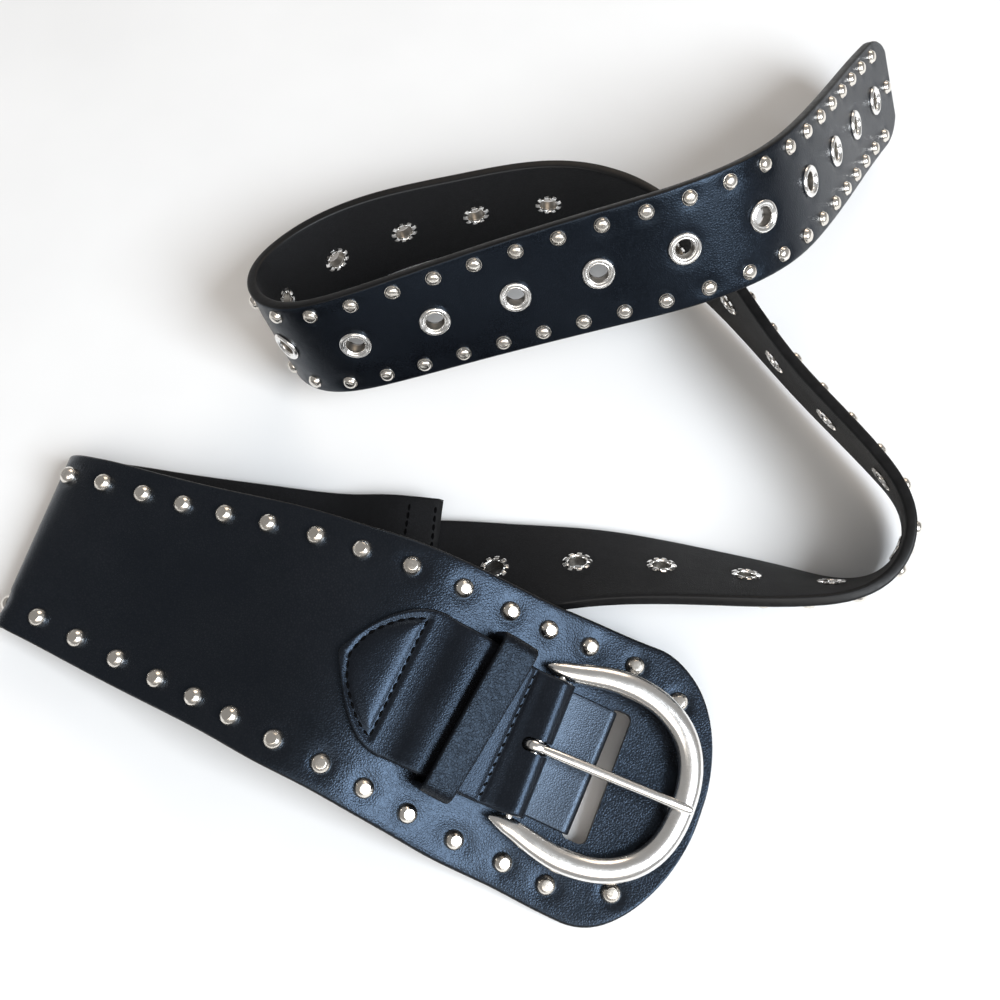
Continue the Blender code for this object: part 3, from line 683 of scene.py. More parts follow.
def domed(radius: float, height: float, foot: float, sides: int,
          shares: Sequence[Tuple[float, float]]) -> Form:
    """A low dome on a short foot, about +Z.

    Args:
        radius: Its radius.
        height: Its height.
        foot: How deep its foot goes into the leather.
        sides: Number of sides.
        shares: Rows of its profile, as shares of the radius and of the height.

    Returns:
        The closed dome.
    """
    profile = [(radius * 0.97, -foot)] + [(radius * share, height * rise) for share, rise in shares]
    around = np.linspace(0, 2 * math.pi, sides, endpoint=False)
    points = np.concatenate([np.stack([r * np.cos(around), r * np.sin(around), np.full(sides, z)], axis=1)
                             for r, z in profile])
    return Form(points, grid_faces(len(profile), sides))


def swept(path: Rows, sides: Rows, ups: Rows, widths: Rows, heights: Rows, count: int,
          power: float = 2.0) -> Form:
    """A tube with superelliptic sections.

    Args:
        path: Rows of points.
        sides: The section's width direction at each point.
        ups: Its height direction.
        widths: Its full width.
        heights: Its full height.
        count: Points round the section.
        power: 2 for an ellipse, more for a squarer one.

    Returns:
        The closed tube.
    """
    turn = np.linspace(0, 2 * math.pi, count, endpoint=False)
    c = np.sign(np.cos(turn)) * np.abs(np.cos(turn)) ** (2 / power)
    s = np.sign(np.sin(turn)) * np.abs(np.sin(turn)) ** (2 / power)
    rings = [p + c[:, None] * a * w / 2 + s[:, None] * u * h / 2
             for p, a, u, w, h in zip(path, sides, ups, widths, heights)]
    return Form(np.concatenate(rings), grid_faces(len(path), count))


class Nodes:
    """A material's node tree, with short calls for the nodes that the finishes use."""

    def __init__(self, name: str) -> None:
        """Starts a material with one Principled shader.

        Args:
            name: The material's name.
        """
        self.material = bpy.data.materials.new(name)
        self.material.use_nodes = True
        self.tree = self.material.node_tree
        self.shader = self.tree.nodes["Principled BSDF"]
        self.coordinates = self.tree.nodes.new("ShaderNodeTexCoord").outputs["Object"]

    def add(self, kind: str, settings: Dict[str, object], inputs: Dict[str, object]) -> bpy.types.Node:
        """Adds a node.

        Args:
            kind: The node's type.
            settings: Its properties.
            inputs: Its inputs: a value, or an output socket to link.

        Returns:
            The node.
        """
        node = self.tree.nodes.new(kind)
        for key, value in settings.items():
            setattr(node, key, value)
        for key, value in inputs.items():
            socket = node.inputs[int(key) if key.isdigit() else key]
            if isinstance(value, bpy.types.NodeSocket):
                self.tree.links.new(value, socket)
            else:
                socket.default_value = value
        return node

    def noise(self, size: float, detail: float, rough: float = 0.55) -> bpy.types.NodeSocket:
        """Noise with features of a size in metres."""
        return self.add("ShaderNodeTexNoise", {}, {"Vector": self.coordinates, "Scale": 1 / size,
                                                   "Detail": detail, "Roughness": rough}).outputs[0]

    def cells(self, size: float) -> bpy.types.NodeSocket:
        """Distance from the cracks between cells of a size in metres."""
        return self.add("ShaderNodeTexVoronoi", {"feature": "DISTANCE_TO_EDGE"},
                        {"Vector": self.coordinates, "Scale": 1 / size}).outputs["Distance"]

    def maths(self, operation: str, first: object, second: object) -> bpy.types.NodeSocket:
        """The result of an operation on two values."""
        return self.add("ShaderNodeMath", {"operation": operation}, {"0": first, "1": second}).outputs[0]

    def ranged(self, value: bpy.types.NodeSocket, low: float, high: float, to_low: float,
               to_high: float) -> bpy.types.NodeSocket:
        """A value moved from one range to another, and kept in it."""
        return self.add("ShaderNodeMapRange", {}, {"Value": value, "From Min": low, "From Max": high,
                                                   "To Min": to_low, "To Max": to_high}).outputs[0]

    def mixed(self, share: bpy.types.NodeSocket, first: Colour, second: Colour) -> bpy.types.NodeSocket:
        """A colour between two, by a share.

        Args:
            share: Share of the second colour.
            first: The first colour.
            second: The second colour.

        Returns:
            The socket with the mixed colour.
        """
        node = self.add("ShaderNodeMix", {"data_type": "RGBA"}, {"0": share})
        node.inputs[6].default_value = (*first, 1.0)
        node.inputs[7].default_value = (*second, 1.0)
        return node.outputs[2]

    def put(self, name: str, value: object) -> None:
        """Sets or links one of the shader's sockets.

        Args:
            name: The shader socket's name.
            value: A number, a colour or another socket.
        """
        if isinstance(value, bpy.types.NodeSocket):
            self.tree.links.new(value, self.shader.inputs[name])
        else:
            self.shader.inputs[name].default_value = value

    def bump(self, height: bpy.types.NodeSocket, depth: float, strength: float) -> None:
        """Raises the surface by a height of 0 to 1 times a depth in metres."""
        node = self.add("ShaderNodeBump", {}, {"Height": height, "Distance": depth, "Strength": strength})
        self.tree.links.new(node.outputs[0], self.shader.inputs["Normal"])


@dataclass(frozen=True)
class LeatherFinish:
    """Black leather with a pebbled grain."""

    name: str
    dark: Colour
    light: Colour
    roughness: Tuple[float, float]
    grain: float = 0.75 * MM
    grain_depth: float = 0.10 * MM
    bump: float = 0.55
    crease: float = 5.0 * MM
    specular: float = 0.5
    sheen: float = 0.0
    tint: Colour = (1.0, 1.0, 1.0)

    def make(self) -> bpy.types.Material:
        """The material.

        Returns:
            The material, with its grain, tint and roughness.
        """
        nodes = Nodes(self.name)
        pebbles = nodes.ranged(nodes.cells(self.grain), 0.0, 0.32, 0.0, 1.0)
        fine = nodes.noise(self.grain * 0.45, 3.0)
        folds = nodes.noise(self.crease, 4.0)
        mottle = nodes.noise(32 * MM, 3.0)
        height = nodes.maths("MULTIPLY", pebbles, 0.55)
        height = nodes.maths("ADD", height, nodes.maths("MULTIPLY", fine, 0.5))
        height = nodes.maths("ADD", height, nodes.maths("MULTIPLY", folds, 1.1))
        shade = nodes.maths("MULTIPLY", nodes.ranged(pebbles, 0.0, 1.0, 0.35, 1.0), mottle)
        nodes.put("Base Color", nodes.mixed(nodes.ranged(shade, 0.15, 0.7, 0.0, 1.0), self.dark, self.light))
        patches = nodes.maths("ADD", mottle, nodes.maths("MULTIPLY", fine, 0.35))
        nodes.put("Roughness", nodes.ranged(patches, 0.4, 0.95, *self.roughness))
        nodes.put("Specular IOR Level", self.specular)
        nodes.put("Specular Tint", (*self.tint, 1.0))
        nodes.put("Sheen Weight", self.sheen)
        nodes.put("Sheen Roughness", 0.45)
        nodes.bump(height, self.grain_depth, self.bump)
        return nodes.material


@dataclass(frozen=True)
class EdgeFinish:
    """The painted cut edge of the leather, with faint rubbed patches."""

    name: str
    dark: Colour
    light: Colour
    roughness: Tuple[float, float]
    specular: float = 0.3

    def make(self) -> bpy.types.Material:
        """The material.

        Returns:
            The material, with the fibres of a cut edge.
        """
        nodes = Nodes(self.name)
        nodes.put("Specular IOR Level", self.specular)
        rub = nodes.noise(1.8 * MM, 4.0, 0.7)
        broad = nodes.noise(24 * MM, 2.0)
        share = nodes.maths("MULTIPLY", rub, broad)
        nodes.put("Base Color", nodes.mixed(nodes.ranged(share, 0.15, 0.45, 0.0, 1.0), self.dark, self.light))
        nodes.put("Roughness", nodes.ranged(rub, 0.3, 0.7, *self.roughness))
        nodes.bump(rub, 0.08 * MM, 0.5)
        return nodes.material


@dataclass(frozen=True)
class MetalFinish:
    """Polished plate with faint clouding and fine rubs."""

    name: str
    bright: Colour
    dull: Colour
    roughness: Tuple[float, float]
    ripple: float = 0.02 * MM

    def make(self) -> bpy.types.Material:
        """The material.

        Returns:
            The material, with its faint wear.
        """
        nodes = Nodes(self.name)
        cloud = nodes.noise(7 * MM, 3.0)
        rubs = nodes.noise(0.6 * MM, 5.0, 0.7)
        nodes.put("Metallic", 1.0)
        nodes.put("Base Color", nodes.mixed(nodes.ranged(cloud, 0.35, 0.7, 0.0, 1.0), self.bright, self.dull))
        nodes.put("Roughness", nodes.ranged(nodes.maths("MULTIPLY", cloud, rubs), 0.1, 0.4, *self.roughness))
        nodes.bump(nodes.noise(3.2 * MM, 1.0), self.ripple, 0.1)
        return nodes.material


@dataclass(frozen=True)
class ThreadFinish:
    """Twisted thread."""

    name: str
    dark: Colour
    light: Colour
    specular: float = 0.15

    def make(self) -> bpy.types.Material:
        """The material.

        Returns:
            The material, with its twist.
        """
        nodes = Nodes(self.name)
        fibre = nodes.noise(0.25 * MM, 3.0)
        nodes.put("Base Color", nodes.mixed(nodes.ranged(fibre, 0.3, 0.7, 0.0, 1.0), self.dark, self.light))
        nodes.put("Roughness", nodes.ranged(fibre, 0.3, 0.7, 0.6, 0.8))
        nodes.put("Specular IOR Level", self.specular)
        nodes.bump(fibre, 0.06 * MM, 0.6)
        return nodes.material


@dataclass(frozen=True)
class TableFinish:
    """A pale, even table top."""

    name: str
    dark: Colour
    light: Colour

    def make(self) -> bpy.types.Material:
        """The material.

        Returns:
            The material, a pale top with a faint mottle.
        """
        nodes = Nodes(self.name)
        cloud = nodes.noise(90 * MM, 3.0)
        nodes.put("Base Color", nodes.mixed(nodes.ranged(cloud, 0.3, 0.7, 0.0, 1.0), self.dark, self.light))
        nodes.put("Roughness", nodes.ranged(cloud, 0.3, 0.7, 0.72, 0.8))
        return nodes.material


class Surface(Enum):
    """The belt's finishes."""

    OUTER = LeatherFinish("outer_leather", (0.0012, 0.0014, 0.0024), (0.0034, 0.0039, 0.0060), (0.24, 0.36),
                          specular=0.34, bump=0.55, tint=(0.55, 0.74, 1.0))
    PANEL = LeatherFinish("panel_leather", (0.0040, 0.0040, 0.0044), (0.0100, 0.0098, 0.0106), (0.22, 0.34),
                          grain=0.85 * MM, grain_depth=0.11 * MM, bump=0.58, specular=0.42,
                          tint=(0.50, 0.70, 1.0))
    INNER = LeatherFinish("inner_leather", (0.0030, 0.0031, 0.0038), (0.0100, 0.0103, 0.0120), (0.5, 0.75),
                          grain=0.7 * MM, grain_depth=0.14 * MM, bump=0.6, specular=0.22, sheen=0.02)
    TAB = LeatherFinish("tab_leather", (0.0034, 0.0034, 0.0040), (0.0085, 0.0086, 0.0100), (0.22, 0.34),
                        grain=0.8 * MM, grain_depth=0.10 * MM, bump=0.5, specular=0.38,
                        tint=(0.50, 0.70, 1.0))
    # The keeper's leather has a coarser grain, which is real. It is also a darker, duller copy of the tab's
    # leather, and that darker base colour is painted shade that dims its top face.
    KEEPER_GRAIN_AND_SHADE = LeatherFinish("keeper_leather", (0.0024, 0.0024, 0.0030), (0.0080, 0.0082, 0.0096), (0.30, 0.42),
                           grain=0.95 * MM, grain_depth=0.16 * MM, bump=0.75, specular=0.26,
                           tint=(0.52, 0.72, 1.0))
    EDGE = EdgeFinish("cut_edge", (0.0016, 0.0016, 0.0020), (0.0060, 0.0060, 0.0068), (0.36, 0.55))
    # The slot strip's leather is the tab's leather made lighter and glossier. Its lighter base colour is a
    # painted highlight that stands in for the window light on the strip.
    FACING_PAINTED_HIGHLIGHT = LeatherFinish("facing_painted_highlight", (0.0050, 0.0054, 0.0066), (0.0120, 0.0126, 0.0150), (0.26, 0.38),
                           grain=0.75 * MM, grain_depth=0.11 * MM, bump=0.5, specular=0.72,
                           tint=(0.56, 0.74, 1.0))
    NICKEL = MetalFinish("polished_nickel", (0.95, 0.94, 0.92), (0.84, 0.815, 0.78), (0.15, 0.27))
    # Dark, dull nickel for the inside of the eyelets' barrels: painted shade in the holes.
    BARREL_PAINTED_SHADE = MetalFinish("barrel_painted_shade", (0.30, 0.28, 0.25), (0.18, 0.165, 0.15), (0.34, 0.5))
    STUD = MetalFinish("stud_nickel", (0.86, 0.82, 0.76), (0.72, 0.67, 0.60), (0.14, 0.3), ripple=0.03 * MM)
    THREAD = ThreadFinish("black_thread", (0.0006, 0.0006, 0.0008), (0.0024, 0.0024, 0.0028), specular=0.04)
    TABLE = TableFinish("table_top", (0.80, 0.80, 0.80), (0.84, 0.84, 0.84))


MADE: Dict[Surface, bpy.types.Material] = {}


def finish_of(surface: Surface) -> bpy.types.Material:
    """The finish's material, made once.

    Args:
        surface: The finish.

    Returns:
        Its material.
    """
    if surface not in MADE:
        MADE[surface] = surface.value.make()
    return MADE[surface]


def piece_from(name: str, form: Form, surfaces: Sequence[Surface], body: str = "belt",
               nodes: Sequence[str] = (), sharp: float = 50.0, matrix: Optional[Matrix] = None,
               pick: Optional[Callable[[Rows], Rows]] = None) -> bpy.types.Object:
    """Makes a piece of the belt from a form.

    Args:
        name: The piece's name.
        form: Its mesh, in the row frame.
        surfaces: Its finishes.
        body: The body that it rides on.
        nodes: The solids that it stands for.
        sharp: Edges bent more than this many degrees stay crisp.
        matrix: Its place, if the form isn't in the row frame.
        pick: Gives each face's finish number from the flat middles of the faces.

    Returns:
        The piece.
    """
    mesh = bpy.data.meshes.new(name)
    mesh.from_pydata(form.points.tolist(), [], form.faces)
    mesh.validate()
    bm = bmesh.new()
    bm.from_mesh(mesh)
    bmesh.ops.recalc_face_normals(bm, faces=bm.faces)
    bm.to_mesh(mesh)
    bm.free()
    mesh.shade_smooth()
    mesh.set_sharp_from_angle(angle=math.radians(sharp))
    for surface in surfaces:
        mesh.materials.append(finish_of(surface))
    if pick is not None and form.flat is not None and len(mesh.polygons) == len(form.faces):
        middles = np.array([form.flat[list(polygon.vertices)].mean(0) for polygon in mesh.polygons])
        mesh.polygons.foreach_set("material_index", pick(middles).astype(np.int32))
    made = bpy.data.objects.new(name, mesh)
    bpy.context.scene.collection.objects.link(made)
    if matrix is not None:
        made.matrix_world = matrix
    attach(made, body)
    if nodes:
        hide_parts(*nodes)
    LOG.info("%s: %d points, %d faces", name, len(mesh.vertices), len(mesh.polygons))
    return made


def cut(form: Form, cutters: Form) -> Form:
    """A flat form with cutters taken out of it.

    Args:
        form: The flat form.
        cutters: Closed forms that are taken out of it.

    Returns:
        The form that is left.
    """
    objects = []
    for tag, shape in (("blank", form), ("cutter", cutters)):
        mesh = bpy.data.meshes.new(tag)
        mesh.from_pydata(shape.points.tolist(), [], shape.faces)
        bm = bmesh.new()
        bm.from_mesh(mesh)
        bmesh.ops.recalc_face_normals(bm, faces=bm.faces)
        bm.to_mesh(mesh)
        bm.free()
        made = bpy.data.objects.new(tag, mesh)
        bpy.context.scene.collection.objects.link(made)
        objects.append(made)
    blank, cutter = objects
    modifier = blank.modifiers.new("cut", "BOOLEAN")
    modifier.operation = "DIFFERENCE"
    modifier.solver = "EXACT"
    modifier.object = cutter
    bpy.context.view_layer.update()
    ready = blank.evaluated_get(bpy.context.evaluated_depsgraph_get())
    mesh = bpy.data.meshes.new_from_object(ready)
    points = np.array([vertex.co for vertex in mesh.vertices], float)
    faces = [tuple(polygon.vertices) for polygon in mesh.polygons]
    bpy.data.meshes.remove(mesh)
    for made in objects:
        bpy.data.objects.remove(made, do_unlink=True)
    return Form(points, faces)


def post(spot: Sequence[float], outline: Rows, depth: float) -> Form:
    """A straight post of an outline, standing through the band.

    Args:
        spot: Where it stands, (along, across).
        outline: Its outline round that spot.
        depth: Half its height.

    Returns:
        The post, closed at both ends.
    """
    ring = np.asarray(outline) + np.array([spot[0], spot[1]])
    low = np.column_stack([ring, np.full(len(ring), -depth)])
    high = np.column_stack([ring, np.full(len(ring), depth)])
    return Form(np.concatenate([low, high]), grid_faces(2, len(ring)))


class StudShape(Enum):
    """Profiles of the studs, as shares of their radius and height."""

    FACETED = ((1.0, 0.0), (1.0, 0.16), (0.975, 0.34), (0.91, 0.54), (0.80, 0.72), (0.67, 0.85),
               (0.58, 0.925), (0.54, 0.965), (0.51, 0.985), (0.47, 0.992), (0.25, 1.0), (0.05, 1.0))
    RIMMED = ((1.0, 0.0), (1.0, 0.14), (0.975, 0.20), (0.94, 0.20), (0.91, 0.25), (0.88, 0.40),
              (0.81, 0.60), (0.69, 0.79), (0.53, 0.915), (0.34, 0.98), (0.14, 1.0), (0.03, 1.0))


@dataclass
class StudRows:
    """Domed studs set in a band."""

    route: Route
    spots: Rows
    diameter: float
    height: float
    face: float
    shape: StudShape
    sides: int = 28
    foot: float = 0.9 * MM

    def dress(self, name: str) -> bpy.types.Object:
        """Builds the studs as one mesh.

        Args:
            name: The piece's name.

        Returns:
            The piece.
        """
        dome = domed(self.diameter / 2, self.height, self.foot, self.sides, self.shape.value)
        step = 0.5 * MM
        whole: Optional[Form] = None
        for along, across in self.spots:
            base, ahead, above = self.route.lay([(along, across, self.face),
                                                 (along + step, across, self.face),
                                                 (along, across, self.face + step)])
            up = Vector(above - base).normalized()
            forward = Vector(ahead - base)
            forward = (forward - forward.dot(up) * up).normalized()
            turn = Matrix((forward, up.cross(forward), up)).transposed().to_4x4()
            made = dome.placed(Matrix.Translation(base) @ turn)
            whole = made if whole is None else whole.joined(made)
        return piece_from(name, whole, [Surface.STUD], sharp=42)


@dataclass
class StitchLine:
    """A run of stitches along a flat path."""

    path: Rows
    height: float
    length: float = 2.4 * MM
    gap: float = 0.55 * MM
    thread: float = 0.9 * MM
    slant: float = 0.0

    def form(self) -> Form:
        """The stitches, flat, each one a short arched thread.

        Returns:
            The form of all the stitches of the line.
        """
        path = even_path(self.path, 0.25 * MM) if len(self.path) > 2 else self.path
        steps = np.concatenate([[0.0], np.cumsum(np.linalg.norm(np.diff(path, axis=0), axis=1))])
        count = int(steps[-1] / (self.length + self.gap))
        whole: Optional[Form] = None
        for i in range(count):
            share = np.linspace(0.0, 1.0, 7)
            place = (i + 0.5) * steps[-1] / count + (share - 0.5) * self.length
            x = np.interp(place, steps, path[:, 0])
            y = np.interp(place, steps, path[:, 1])
            lift = np.sin(share * math.pi)
            z = self.height + self.thread * (0.42 * lift - 0.35)
            ahead = unit(np.array([[x[-1] - x[0], y[-1] - y[0]]]))[0]
            skew = (share - 0.5) * 2 * self.slant
            line = np.stack([x - ahead[1] * skew, y + ahead[0] * skew, z], axis=1)
            along = unit(np.gradient(line, axis=0))
            side = unit(np.cross([0.0, 0.0, 1.0], along))
            up = np.cross(along, side)
            width = self.thread * (0.55 + 0.45 * np.sqrt(lift + 0.001))
            made = swept(line, side, up, width, width, 6)
            whole = made if whole is None else whole.joined(made)
        return whole


@dataclass
class MainStrap:
    """The long strap, its studs and its eyelets."""

    route: Route
    cell: float = 1.45 * MM
    cells_across: int = 26
    edge_round: float = 0.9 * MM
    hole_sides: int = 32
    dimple: float = 0.28 * MM
    dimple_reach: float = 1.0 * MM
    stud_height: float = 1.75 * MM
    eyelet_sides: int = 108
    petals: int = 9

    def leather(self) -> bpy.types.Object:
        """The strap itself, pierced for its eyelets.

        Returns:
            The strap's leather.
        """
        tip = SIZES.tip_round_length * (1 - np.cos(np.radians(np.linspace(4, 90, 22))))
        count = round((SIZES.strap_length - SIZES.tip_round_length) / self.cell)
        body = np.linspace(SIZES.tip_round_length, SIZES.strap_length, count)
        band = LeatherBand(self.route, strap_half_width, SIZES.strap_thick, self.edge_round,
                           self.cells_across)
        form = band.form(np.concatenate([tip, body[1:]]))
        ring = arc((0.0, 0.0), SIZES.eyelet_hole / 2 + SIZES.eyelet_wall, 0, 360, self.hole_sides + 1)[:-1]
        posts: Optional[Form] = None
        for place in eyelet_places():
            made = post((place, 0.0), ring, 2 * SIZES.strap_thick)
            posts = made if posts is None else posts.joined(made)
        form = cut(form, posts)
        face = SIZES.strap_thick / 2
        form.points = dimpled(form.points, strap_stud_spots(), SIZES.stud_diameter / 2, self.dimple,
                              self.dimple_reach, face)
        eyelets = np.array([(place, 0.0) for place in eyelet_places()])
        form.points = dimpled(form.points, eyelets, SIZES.eyelet_flange / 2, self.dimple,
                              self.dimple_reach, face)

        def pick(middles: Rows) -> Rows:
            """Outer, inner or edge.

            Args:
                middles: Rows of the middles of the faces, flat.

            Returns:
                Number of the finish of each face.
            """
            half = strap_half_width(middles[:, 0]) - 0.5 * self.edge_round
            rim = (np.abs(middles[:, 1]) > half) | (np.abs(middles[:, 2]) < 0.5 * face)
            return np.where(rim, 2, np.where(middles[:, 2] > 0, 0, 1))

        return piece_from("strap_leather", form.laid(self.route),
                          [Surface.OUTER, Surface.INNER, Surface.EDGE],
                          nodes=["main_strap"], pick=pick)

    def eyelet(self) -> Form:
        """One eyelet, flat: a rolled flange, a barrel and a ring of set prongs.

        Returns:
            The eyelet's form, its hole round the z axis.
        """
        hole = SIZES.eyelet_hole / 2
        wall = SIZES.eyelet_wall
        rim = SIZES.eyelet_flange / 2
        face = SIZES.strap_thick / 2 - self.dimple
        top = SIZES.strap_thick / 2 + SIZES.gap + SIZES.eyelet_flange_thick - 0.3 * MM
        back = -SIZES.strap_thick / 2
        prong = SIZES.eyelet_back / 2
        profile = np.array([
            (hole + wall, face), (rim * 0.9, face), (rim * 0.985, face + 0.1 * MM), (rim, face + 0.35 * MM),
            (rim * 0.985, top - 0.52 * MM), (rim * 0.945, top - 0.22 * MM), (rim * 0.89, top - 0.04 * MM),
            (rim * 0.83, top), (rim * 0.77, top - 0.08 * MM), (rim * 0.72, top - 0.28 * MM),
            (rim * 0.69, top - 0.48 * MM), (rim * 0.665, top - 0.40 * MM), (rim * 0.63, top - 0.42 * MM),
            (hole * 1.10, top - 0.62 * MM), (hole * 1.05, top - 1.0 * MM), (hole * 1.05, back + 0.3 * MM),
            (hole * 1.07, back - 0.30 * MM), (hole * 1.15, back - 0.62 * MM), (hole * 1.30, back - 0.78 * MM),
            (prong * 0.88, back - 0.70 * MM), (prong, back - 0.34 * MM), (prong * 0.97, back - 0.02 * MM),
            (prong * 0.8, back - 0.06 * MM), (hole * 1.24, back - 0.1 * MM), (hole + wall, back)])
        return turned(profile, self.eyelet_sides, self.petals, (18, 19, 20, 21, 22), hole * 1.19)

    def eyelets(self) -> List[bpy.types.Object]:
        """All the eyelets.

        Returns:
            One piece for each eyelet.
        """
        ring = self.eyelet()
        made = []
        for number, place in enumerate(eyelet_places()):
            form = Form(ring.points + np.array([place, 0.0, 0.0]), ring.faces).laid(self.route)
            name = "strap_eyelet_%02d" % (number + 1)
            # Faces inside the barrel take the dark nickel, which is painted shade in the hole.
            made.append(piece_from(name, form, [Surface.NICKEL, Surface.BARREL_PAINTED_SHADE],
                                   nodes=["eyelet_%02d" % (number + 1)], sharp=45, pick=self.barrel_faces))
        return made

    def barrel_faces(self, middles: Rows) -> Rows:
        """Number of the finish of each face of an eyelet: 1 inside its barrel, where the dark nickel is
        painted shade, else 0.

        Args:
            middles: Rows of the middles of the faces, flat.

        Returns:
            One number for each face.
        """
        places = np.array(eyelet_places())
        nearest = places[np.argmin(np.abs(middles[:, :1] - places), axis=1)]
        away = np.hypot(middles[:, 0] - nearest, middles[:, 1])
        deep = np.abs(middles[:, 2]) < SIZES.strap_thick / 2
        return ((away < 1.12 * SIZES.eyelet_hole / 2) & deep).astype(int)

    def build(self) -> None:
        """Builds and dresses the whole strap."""
        self.leather()
        face = SIZES.strap_thick / 2 - self.dimple
        StudRows(self.route, strap_stud_spots(), SIZES.stud_diameter, self.stud_height, face,
                 StudShape.RIMMED).dress("strap_studs")
        self.eyelets()


@dataclass
class FrontPanel:
    """The wide panel with its studs, its slot and the stitches at its joint."""

    route: Route
    cell: float = 1.6 * MM
    cells_across: int = 52
    edge_round: float = 0.9 * MM
    dimple: float = 0.38 * MM
    dimple_reach: float = 1.0 * MM
    stud_diameter: float = 6.2 * MM
    stitch_inset: float = 1.6 * MM
    stitch_band: float = 9.5 * MM

    def slot(self) -> Tuple[Rows, float]:
        """Outline of the slot, and the place of its middle.

        Returns:
            Rows of the outline, and the place.
        """
        width = SIZES.slot_width + SIZES.facing_thick + 2 * SIZES.gap
        centre = SIZES.slot_place + width / 2 - SIZES.slot_width / 2
        half = SIZES.slot_length / 2
        return rounded_box(width / 2, -half, half, width * 0.3, 8), centre

    def leather(self) -> bpy.types.Object:
        """The panel itself, with its slot.

        Returns:
            The panel's leather.
        """
        end = SIZES.panel_end_round * (1 - np.cos(np.radians(np.linspace(2.5, 90, 34))))
        count = round((SIZES.panel_length - SIZES.panel_end_round) / self.cell)
        body = np.linspace(SIZES.panel_end_round, SIZES.panel_length, count)
        band = LeatherBand(self.route, panel_half_width, SIZES.panel_thick, self.edge_round,
                           self.cells_across)
        outline, centre = self.slot()
        slot_post = post((centre, 0.0), outline, 2 * SIZES.panel_thick)
        form = cut(band.form(np.concatenate([end, body[1:]])), slot_post)
        face = SIZES.panel_thick / 2
        form.points = dimpled(form.points, panel_stud_spots(), SIZES.panel_stud_diameter / 2, self.dimple,
                              self.dimple_reach, face)

        def pick(middles: Rows) -> Rows:
            """Outer, inner or edge.

            Args:
                middles: Rows of the middles of the faces, flat.

            Returns:
                Number of the finish of each face.
            """
            half = panel_half_width(middles[:, 0]) - 0.5 * self.edge_round
            rim = (np.abs(middles[:, 1]) > half) | (np.abs(middles[:, 2]) < 0.5 * face)
            return np.where(rim, 2, np.where(middles[:, 2] > 0, 0, 1))

        return piece_from("panel_leather", form.laid(self.route),
                          [Surface.PANEL, Surface.INNER, Surface.EDGE],
                          nodes=["front_panel"], pick=pick)

    def joint_stitches(self) -> bpy.types.Object:
        """Two lines of stitches across the lap, on the panel's inner face.

        Returns:
            The stitches.
        """
        whole: Optional[Form] = None
        for inset in (self.stitch_inset, self.stitch_inset + self.stitch_band):
            place = SIZES.panel_length - inset
            half = float(panel_half_width(place)) - 3 * MM
            line = StitchLine(np.array([(place, -half), (place, half)]), SIZES.panel_thick / 2).form()
            line.points[:, 2] *= -1
            whole = line if whole is None else whole.joined(line)
        return piece_from("joint_stitches", whole.laid(self.route), [Surface.THREAD])

    def build(self) -> None:
        """Builds and dresses the whole panel."""
        self.leather()
        face = SIZES.panel_thick / 2 - self.dimple
        StudRows(self.route, panel_stud_spots(), self.stud_diameter, SIZES.panel_stud_height + self.dimple,
                 face, StudShape.FACETED).dress("panel_studs")
        self.joint_stitches()


